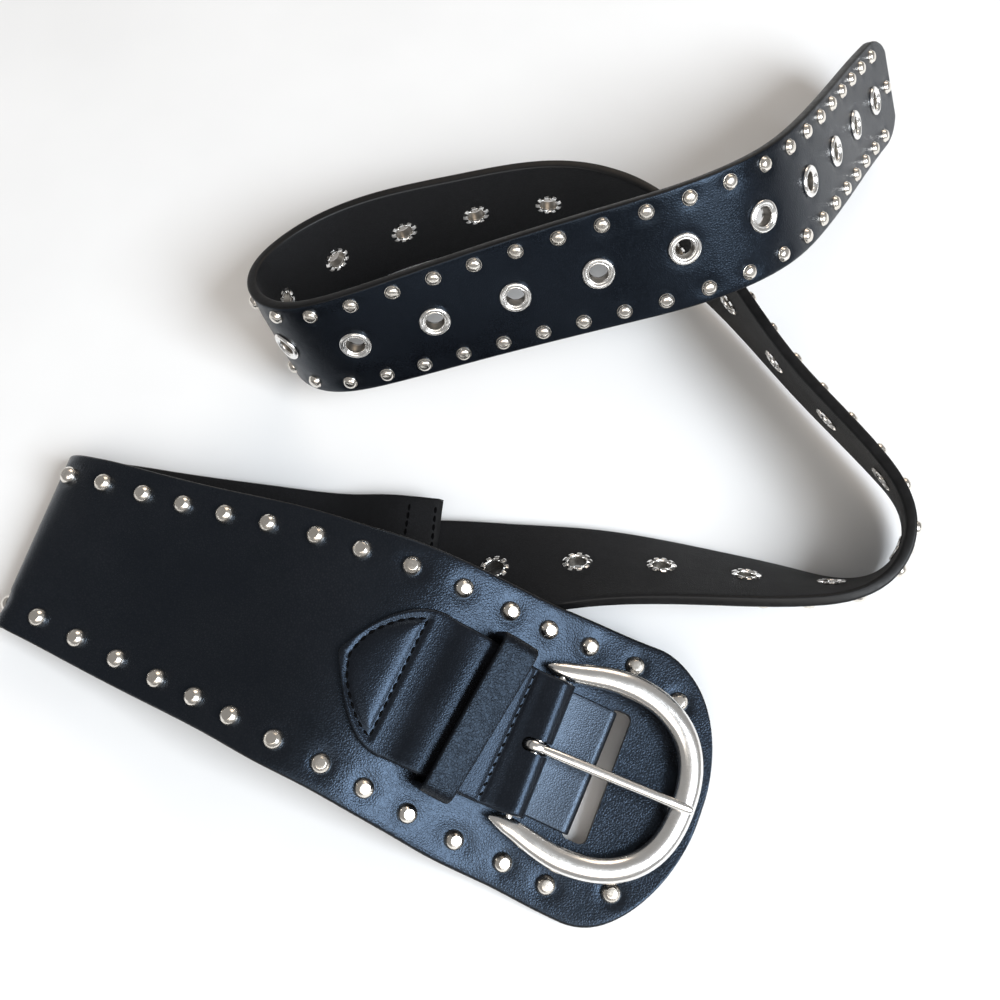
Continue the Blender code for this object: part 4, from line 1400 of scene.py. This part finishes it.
@dataclass
class BuckleTab:
    """The pointed tab that holds the buckle, its stitches, the slot's facing and the keeper."""

    route: Route
    step: float = 0.7 * MM
    cells_across: int = 44
    edge_round: float = 0.95 * MM
    stitch_inset: float = 3.3 * MM
    base_stitch_place: float = 103.6 * MM
    bar_stitch_place: float = 67.0 * MM
    stitch_press: float = 0.6 * MM
    stitch_reach: float = 0.85 * MM
    pillow: float = 0.5 * MM
    valley: float = 0.9 * MM
    bank: Tuple[Tuple[float, float], ...] = ((66.0, 0.0), (68.0, 0.15), (74.0, 1.0), (86.0, 1.0), (96.0, 0.0))
    point_inset_share: float = 0.25
    facing_cells: int = 40
    facing_corner: float = 0.45 * MM
    keeper_cells: int = 12
    keeper_edge: float = 0.6 * MM
    keeper_skew: float = 2.2 * MM
    keeper_pinch: float = 0.35
    keeper_crown: float = 0.25 * MM
    keeper_sag: float = 0.35 * MM

    def path(self) -> Rows:
        """Side view of the tab: along the panel from its point, round the bar and back.

        Returns:
            Rows of (along, height).
        """
        rise_end = SIZES.keeper_place + SIZES.keeper_width / 2 + 2 * SIZES.tab_thick
        rise_start = rise_end + 3 * SIZES.tab_thick
        bar = SIZES.bar_place
        flat = [(place, SIZES.tab_low) for place in np.linspace(SIZES.tab_tip_place, rise_start, 4)]
        over = [(place, SIZES.tab_high) for place in np.linspace(rise_end, bar + 2.4 * SIZES.roll_radius, 4)]
        roll = arc((bar, SIZES.bar_height), SIZES.roll_radius, 75, 270, 12)
        under = [(bar + share * SIZES.tab_return_length, SIZES.tab_low) for share in (0.5, 1.0)]
        return even_path(np.concatenate([flat, over, roll, under]), self.step)

    def half_width(self, place: Rows) -> Rows:
        """Half width of the tab at places along the panel.

        Args:
            place: Places along the panel.

        Returns:
            The half width at each place.
        """
        point_start = SIZES.tab_tip_place - SIZES.tab_point_length
        share = np.clip((np.asarray(place) - point_start) / SIZES.tab_point_length, 0.0, 1.0)
        body = np.interp(place, [SIZES.bar_place, point_start],
                         [SIZES.tab_bar_width / 2, SIZES.tab_width / 2])
        return body * (1 - share ** 2.2) + 0.25 * MM * (share > 0)

    def triangle(self) -> Rows:
        """Path of the stitches inside the point, from one end of the base line to the other.

        Returns:
            Rows of (along, across).
        """
        places = np.linspace(self.base_stitch_place, SIZES.tab_tip_place - self.stitch_inset, 12)
        inset = self.stitch_inset * (1 + self.point_inset_share * (places > places[-3]))
        half = np.maximum(self.half_width(places) - inset, 0.0)
        half[-1] = 0.0
        up = np.stack([places, half], axis=1)
        return np.concatenate([up, up[-2::-1] * np.array([1.0, -1.0])])

    def lines(self) -> List[Rows]:
        """All the stitch paths on the tab.

        Returns:
            One path of (along, across) for each line.
        """
        base = float(self.triangle()[0, 1])
        bar = float(self.half_width(self.bar_stitch_place)) - 1.2 * MM
        return [self.triangle(),
                np.array([(self.base_stitch_place, base), (self.base_stitch_place, -base)]),
                np.array([(self.bar_stitch_place, bar), (self.bar_stitch_place, -bar)])]

    def away(self, points: Rows) -> Rows:
        """Distance of flat points from the nearest stitch path.

        Args:
            points: Rows of (along, across).

        Returns:
            One distance for each point.
        """
        best = np.full(len(points), 1.0)
        for line in self.lines():
            for first, last in zip(line[:-1], line[1:]):
                step = last - first
                share = np.clip(((points[:, :2] - first) @ step) / max(step @ step, 1e-12), 0.0, 1.0)
                best = np.minimum(best, np.linalg.norm(points[:, :2] - first - share[:, None] * step, axis=1))
        return best

    def leather(self) -> bpy.types.Object:
        """The tab itself, with a notch for the tongue.

        Returns:
            The tab's leather.
        """
        path = self.path()
        tangent = unit(np.gradient(path, axis=0))
        normal = np.stack([-tangent[:, 1], tangent[:, 0]], axis=1)
        normal *= -1
        wide, wide_round, deep, deep_round = band_ring(self.cells_across)
        rows = []
        half_thick = SIZES.tab_thick / 2
        for i, (x, z) in enumerate(path):
            half = float(self.half_width(x)) if z > 0 else SIZES.tab_bar_width / 2
            from_tip = SIZES.tab_tip_place - x
            end = max(0.0, 1 - from_tip / self.edge_round)
            depth = half_thick * math.sqrt(max(1 - end ** 2, 0.02))
            corner = min(self.edge_round, 0.8 * depth, 0.8 * half)
            y = wide * (half - corner) + wide_round * corner
            through = deep * (depth - corner) + deep_round * corner
            rows.append(np.stack([x + normal[i, 0] * through, y, z + normal[i, 1] * through], axis=1))
        form = Form(np.concatenate(rows), grid_faces(len(path), len(wide)))
        form = self.pressed(form)
        reach = SIZES.roll_radius + SIZES.tab_thick
        notch = rounded_box(reach, -SIZES.tongue_notch / 2, SIZES.tongue_notch / 2,
                            0.45 * SIZES.tongue_notch, 6)
        form = cut(form, post((SIZES.bar_place - 0.2 * SIZES.tab_thick, 0.0), notch, 30 * MM))
        return piece_from("tab_leather", form.laid(self.route), [Surface.TAB],
                          nodes=["buckle_tab"], sharp=60)

    def pressed(self, form: Form) -> Form:
        """The tab with its stitch lines pressed in and its point padded.

        Args:
            form: The tab's form, laid out along the panel.

        Returns:
            The form with its relief.
        """
        points = form.points
        upper = points[:, 2] > SIZES.tab_low + 0.3 * SIZES.tab_thick
        away = self.away(points)
        press = self.stitch_press * np.exp(-(away / self.stitch_reach) ** 2)
        point = (points[:, 0] > self.base_stitch_place) & (
            np.abs(points[:, 1]) < self.half_width(points[:, 0]) - self.stitch_inset)
        swell = self.pillow * (1 - np.exp(-(away / (2.5 * MM)) ** 2)) * point
        places, shares = np.array(self.bank).T
        bank = np.interp(points[:, 0], places * MM, shares)
        lift = swell - press + self.valley * bank
        points[:, 2] += np.where(upper & (points[:, 0] > SIZES.bar_place + SIZES.roll_radius), lift, 0.0)
        return form

    def stitches(self) -> bpy.types.Object:
        """The stitches on the tab.

        Returns:
            The stitches.
        """
        low = SIZES.tab_low + SIZES.tab_thick / 2 - self.stitch_press
        high = SIZES.tab_high + SIZES.tab_thick / 2 - self.stitch_press
        triangle, base, bar = self.lines()
        whole = StitchLine(triangle, low).form().joined(StitchLine(base, low).form())
        whole = whole.joined(StitchLine(bar, high, slant=0.55 * MM, thread=1.1 * MM).form())
        return piece_from("tab_stitches", whole.laid(self.route), [Surface.THREAD])

    def facing(self) -> bpy.types.Object:
        """The thin strip between bar and slot, turned down through the slot.

        Returns:
            The strip.
        """
        middle = SIZES.panel_face + SIZES.gap + SIZES.facing_thick / 2
        slot_edge = SIZES.slot_place + SIZES.slot_width / 2 + SIZES.facing_thick / 2
        corner = SIZES.facing_thick
        top = middle + SIZES.facing_thick / 2 + SIZES.gap
        roll = SIZES.roll_radius + SIZES.tab_thick / 2 + SIZES.gap
        start = SIZES.bar_place - math.sqrt(roll ** 2 - (SIZES.bar_height - top) ** 2)
        path = np.concatenate([[(place, middle) for place in np.linspace(start, slot_edge + corner, 5)],
                               arc((slot_edge + corner, middle - corner), corner, 100, 180, 6),
                               [(slot_edge, -SIZES.panel_face)]])
        path = even_path(path, 0.5 * MM)
        tangent = unit(np.gradient(path, axis=0))
        normal = np.stack([tangent[:, 1], -tangent[:, 0]], axis=1)
        wide, wide_round, deep, deep_round = band_ring(self.facing_cells)
        half = SIZES.slot_length / 2 - SIZES.gap - SIZES.facing_thick / 2
        corner = self.facing_corner
        y = wide * (half - corner) + wide_round * corner
        through = deep * (SIZES.facing_thick / 2 - corner) + deep_round * corner
        rows = [np.stack([x + n[0] * through, y, z + n[1] * through], axis=1)
                for (x, z), n in zip(path, normal)]
        form = Form(np.concatenate(rows), grid_faces(len(path), len(wide)))
        # The strip's lighter, glossier finish is a painted highlight.
        return piece_from("slot_strip", form.laid(self.route), [Surface.FACING_PAINTED_HIGHLIGHT],
                          nodes=["slot_facing"])

    def keeper(self) -> bpy.types.Object:
        """The loose keeper loop round the tab.

        Returns:
            The keeper.
        """
        low = SIZES.panel_face + SIZES.gap
        high = low + SIZES.keeper_height
        inset = SIZES.keeper_thick / 2
        ring = rounded_box(SIZES.keeper_span / 2 - inset, low + inset, high - inset,
                           SIZES.keeper_corner - inset, 10)
        ring = even_path(ring, 0.8 * MM, closed=True)
        middle_height = (low + high) / 2
        tangent = unit(np.roll(ring, -1, axis=0) - np.roll(ring, 1, axis=0))
        outward = np.stack([tangent[:, 1], -tangent[:, 0]], axis=1)
        wide, wide_round, deep, deep_round = band_ring(self.keeper_cells)
        corner = self.keeper_edge
        x = wide * (SIZES.keeper_width / 2 - corner) + wide_round * corner
        through = deep * (inset - corner) + deep_round * corner
        crown = self.keeper_crown * (1 - (x / (SIZES.keeper_width / 2)) ** 2)
        rows = []
        for (y, z), out in zip(ring, outward):
            near = min(max(0.5 - y / SIZES.keeper_span, 0.0), 1.0)
            place = np.where(x < 0, x * (1 - self.keeper_pinch * near), x) + self.keeper_skew * near
            upper = z > middle_height
            sag = self.keeper_sag * (1 - (y / (SIZES.keeper_span / 2)) ** 2) if z >= middle_height else 0.0
            reach = through + crown * upper
            rows.append(np.stack([SIZES.keeper_place + place, y + out[0] * reach, z + out[1] * reach - sag],
                                 axis=1))
        form = Form(np.concatenate(rows), grid_faces(len(ring), len(wide), closed_rows=True))
        # Its finish is darker than the tab's: painted shade on the keeper, over a coarser real grain.
        return piece_from("keeper_leather", form.laid(self.route), [Surface.KEEPER_GRAIN_AND_SHADE],
                          nodes=["keeper_loop"])

    def build(self) -> None:
        """Builds and dresses the tab and what is with it."""
        self.leather()
        self.stitches()
        self.facing()
        self.keeper()


@dataclass
class Buckle:
    """The horseshoe frame with its bar, and the tongue."""

    route: Route
    bow_steps: int = 110
    section_sides: int = 36
    bar_steps: int = 48
    bar_sides: int = 20
    eye_steps: int = 40
    eye_sides: int = 16
    shank_sides: int = 18
    shank_squareness: float = 2.3
    bar_neck: float = 0.4
    eye_wall: float = 2.5 * MM
    eye_width: float = 3.6 * MM

    def place(self) -> Matrix:
        """Place of the buckle: origin on the bar's axis, X to the crown, Y along the bar, Z up.

        Returns:
            The matrix from the buckle's frame to the row frame.
        """
        height = SIZES.bar_height
        bar = Vector(self.route.lay([(SIZES.bar_place, 0.0, height)])[0])
        side = (Vector(self.route.lay([(SIZES.bar_place, 1 * MM, height)])[0]) - bar).normalized()
        bottom = SIZES.panel_face + SIZES.panel_stud_height + SIZES.crown_seat
        crown_height = bottom + SIZES.bow_section / 2 * SIZES.bow_flatness
        crown = Vector(self.route.lay([(SIZES.bar_place - SIZES.bow_reach, 0.0, crown_height)])[0])
        forward = crown - bar
        forward = (forward - forward.dot(side) * side).normalized()
        axes = Matrix((forward, side, forward.cross(side))).transposed().to_4x4()
        return Matrix.Translation(bar) @ axes

    def bow_rows(self) -> Rows:
        """Rows (x, y, section) down the middle of the bow, from one horn round to the other.

        Returns:
            The rows.
        """
        tip_half = SIZES.bow_bar_half_width - 0.4 * MM
        mid_half = (SIZES.bow_bar_half_width + SIZES.bow_half_width) / 2 + 0.35 * MM
        rows = [(-SIZES.horn_length, tip_half, SIZES.horn_tip * 0.7),
                (-SIZES.horn_length * 0.6, tip_half + 0.1 * MM, SIZES.bow_bar_section * 0.62),
                (0.0, SIZES.bow_bar_half_width, SIZES.bow_bar_section),
                (SIZES.bow_shoulder * 0.5, mid_half, SIZES.bow_section * 0.9)]
        for turn in np.radians(np.linspace(0, 90, 13)):
            x = SIZES.bow_shoulder + (SIZES.bow_reach - SIZES.bow_shoulder) * math.sin(turn) ** (
                2 / SIZES.bow_squareness)
            y = SIZES.bow_half_width * max(math.cos(turn), 0.0) ** (2 / SIZES.bow_squareness)
            rows.append((x, y if turn < 1.57 else 0.0, SIZES.bow_section))
        return np.array(rows + [(x, -y, section) for x, y, section in reversed(rows[:-1])])

    def frame(self) -> bpy.types.Object:
        """The bow and its bar.

        Returns:
            The bow with its bar.
        """
        rows = self.bow_rows()
        knots = np.concatenate([[0.0], np.cumsum(np.linalg.norm(np.diff(rows[:, :2], axis=0), axis=1))])
        places = np.linspace(0.0, knots[-1], self.bow_steps)
        read = natural_spline(knots, rows, places)
        read[:, 2] = np.interp(places, knots, rows[:, 2])
        path = np.column_stack([read[:, :2], np.zeros(len(read))])
        along = unit(np.gradient(path, axis=0))
        ups = np.tile([0.0, 0.0, 1.0], (len(path), 1))
        bow = swept(path, np.cross(along, ups), ups, read[:, 2], read[:, 2] * SIZES.bow_flatness,
                    self.section_sides)
        count = self.bar_steps
        ends = np.linspace(-SIZES.bow_bar_half_width, SIZES.bow_bar_half_width, count)
        bar_path = np.column_stack([np.zeros(count), ends, np.zeros(count)])
        near_bow = np.clip((np.abs(ends) - SIZES.tab_bar_width / 2 + 1 * MM) / (1 * MM), 0.0, 1.0)
        bar_size = SIZES.bar_diameter * (1 - self.bar_neck * near_bow)
        bar = swept(bar_path, np.tile([1.0, 0.0, 0.0], (count, 1)), np.tile([0.0, 0.0, 1.0], (count, 1)),
                    bar_size, bar_size, self.bar_sides)
        return piece_from("buckle_bow", bow.joined(bar), [Surface.NICKEL], "buckle",
                          ["buckle_frame"], matrix=self.place(), sharp=60)

    def tongue(self) -> bpy.types.Object:
        """The tongue: an eye round the bar and a shank that rests on the crown.

        Returns:
            The tongue.
        """
        inner = SIZES.bar_diameter / 2 + SIZES.gap
        outer = inner + self.eye_wall
        middle = (inner + outer) / 2
        turn = np.linspace(0, 2 * math.pi, self.eye_steps, endpoint=False)
        path = np.stack([middle * np.cos(turn), 0 * turn, middle * np.sin(turn)], axis=1)
        out = np.stack([np.cos(turn), 0 * turn, np.sin(turn)], axis=1)
        c = np.linspace(0, 2 * math.pi, self.eye_sides, endpoint=False)
        rings = [p + np.outer(np.cos(c) * self.eye_wall / 2, o)
                 + np.outer(np.sin(c) * self.eye_width / 2, [0, 1, 0]) for p, o in zip(path, out)]
        eye = Form(np.concatenate(rings), grid_faces(len(path), self.eye_sides, closed_rows=True))
        root = inner + SIZES.tongue_eye_wall / 2
        rest = SIZES.bow_section / 2 * SIZES.bow_flatness + SIZES.gap + SIZES.tongue_width * 0.35
        end = SIZES.bow_reach + SIZES.tongue_overhang
        width = SIZES.tongue_width
        rows = np.array([
            (0.0, root, width * 0.75), (2 * root, root + 0.35 * MM, width),
            (SIZES.bow_reach * 0.3, (root + rest) / 2 + 0.2 * MM, width * 1.06),
            (SIZES.bow_reach * 0.55, (root + rest) / 2 + 0.45 * MM, width * 1.04),
            (SIZES.bow_reach * 0.8, rest + 0.55 * MM, width),
            (SIZES.bow_reach * 0.93, rest + 0.5 * MM, width),
            (SIZES.bow_reach, rest + 0.42 * MM, width * 0.95),
            (end - 0.7 * MM, rest + 0.1 * MM, width * 0.84),
            (end, rest - 0.1 * MM, width * 0.55)])
        places = np.concatenate([np.linspace(0, end - 1.2 * MM, 40), np.linspace(end - 0.9 * MM, end, 5)])
        read = natural_spline(rows[:, 0], rows, places)
        path = np.stack([read[:, 0], 0 * places, read[:, 1]], axis=1)
        along = unit(np.gradient(path, axis=0))
        sides = np.tile([0.0, 1.0, 0.0], (len(path), 1))
        shank = swept(path, sides, np.cross(along, sides) * -1, read[:, 2], read[:, 2] * 0.92,
                      self.shank_sides, self.shank_squareness)
        return piece_from("tongue_rod", eye.joined(shank), [Surface.NICKEL], "tongue",
                          ["buckle_tongue"], matrix=self.place(), sharp=60)

    def build(self) -> None:
        """Builds and dresses the buckle and its tongue."""
        self.frame()
        self.tongue()


class Softbox(NamedTuple):
    """A soft light. azimuth and elevation are its direction from the belt, in degrees.

    radiance is how bright its face is.
    """

    name: str
    azimuth: float
    elevation: float
    distance: float
    width: float
    height: float
    radiance: float
    colour: Colour


SOFTBOXES = (
    Softbox("window_light", 322, 46, 1.4, 0.6, 0.72, 17.0, (0.88, 0.94, 1.0)),
    Softbox("wall_light", 268, 50, 1.5, 1.2, 0.8, 2.6, (1.0, 0.94, 0.87)),
    Softbox("far_light", 75, 40, 1.5, 0.8, 0.6, 2.6, (1.0, 0.84, 0.68)),
)


@dataclass
class Studio:
    """A pale table, soft lights, and the camera at the photograph's angle."""

    joint: Rows
    lens: float = 44.1
    sensor: float = 36.0
    target: Tuple[float, float] = (33.8 * MM, 28.8 * MM)
    distance: float = 421.1 * MM
    elevation: float = 66.7
    table_side: float = 4.0
    table_drop: float = 0.05 * MM
    sky_colour: Colour = (1.0, 0.985, 0.97)
    sky_strength: float = 0.3

    def camera(self) -> bpy.types.Object:
        """The camera.

        Returns:
            The camera, set as the scene's own.
        """
        data = bpy.data.cameras.new("camera")
        data.lens = self.lens
        data.sensor_width = self.sensor
        data.clip_start = 0.02
        data.clip_end = 20.0
        made = bpy.data.objects.new("camera", data)
        bpy.context.scene.collection.objects.link(made)
        down = math.radians(self.elevation)
        made.location = (self.joint[0] + self.target[0],
                         self.joint[1] + self.target[1] - self.distance * math.cos(down),
                         self.joint[2] + self.distance * math.sin(down))
        made.rotation_euler = (math.radians(90) - down, 0.0, 0.0)
        bpy.context.scene.camera = made
        return made

    def table(self) -> bpy.types.Object:
        """The table top, in a fine grid.

        Returns:
            The table top.
        """
        mesh = bpy.data.meshes.new("table_top")
        bm = bmesh.new()
        bmesh.ops.create_grid(bm, x_segments=24, y_segments=24, size=self.table_side / 2)
        bm.to_mesh(mesh)
        bm.free()
        mesh.materials.append(finish_of(Surface.TABLE))
        made = bpy.data.objects.new("table_top", mesh)
        bpy.context.scene.collection.objects.link(made)
        made.location.z = -self.table_drop
        return made

    def softbox(self, light: Softbox) -> bpy.types.Object:
        """A soft light that looks at the belt.

        Args:
            light: Its place, size and brightness.

        Returns:
            The light.
        """
        data = bpy.data.lights.new(light.name, "AREA")
        data.shape = "RECTANGLE"
        data.size = light.width
        data.size_y = light.height
        data.energy = light.radiance * math.pi * light.width * light.height
        data.color = light.colour
        made = bpy.data.objects.new(light.name, data)
        bpy.context.scene.collection.objects.link(made)
        a, e = math.radians(light.azimuth), math.radians(light.elevation)
        back = Vector((math.cos(a) * math.cos(e), math.sin(a) * math.cos(e), math.sin(e)))
        made.location = back * light.distance
        made.rotation_mode = "QUATERNION"
        made.rotation_quaternion = back.to_track_quat("Z", "Y")
        return made

    def sky(self) -> None:
        """Even light from all round."""
        world = bpy.data.worlds.new("studio")
        bpy.context.scene.world = world
        world.use_nodes = True
        background = world.node_tree.nodes["Background"]
        background.inputs["Color"].default_value = (*self.sky_colour, 1.0)
        background.inputs["Strength"].default_value = self.sky_strength

    def build(self) -> None:
        """Sets up camera, table and lights."""
        self.camera()
        self.table()
        self.sky()
        bpy.context.scene.view_settings.view_transform = "Standard"
        for light in SOFTBOXES:
            self.softbox(light)


def seat_of(route: Route) -> Rows:
    """Place of the joint in the row frame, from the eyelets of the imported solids.

    Args:
        route: The strap's route, not yet shifted.

    Returns:
        The shift from the joint to the row frame.
    """
    centres = []
    for number in range(len(eyelet_places())):
        low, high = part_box("eyelet_%02d" % (number + 1))
        centres.append((np.array(low) + np.array(high)) / 2)
    height = (SIZES.eyelet_flange_thick - SIZES.eyelet_back_thick) / 2
    laid = route.lay([(place, 0.0, height) for place in eyelet_places()])
    return (np.array(centres) - laid).mean(axis=0)


def main() -> None:
    """Builds the camera and lights, then each piece of the belt."""
    logging.basicConfig(level=logging.INFO, format="%(message)s")
    strap = strap_route()
    panel = panel_route()
    joint = seat_of(strap)
    strap.shift = joint
    panel.shift = joint
    LOG.info("joint at %s", np.round(joint, 5))
    Studio(joint).build()
    FrontPanel(panel).build()
    BuckleTab(panel).build()
    Buckle(panel).build()
    MainStrap(strap).build()


if __name__ == "__main__":
    main()
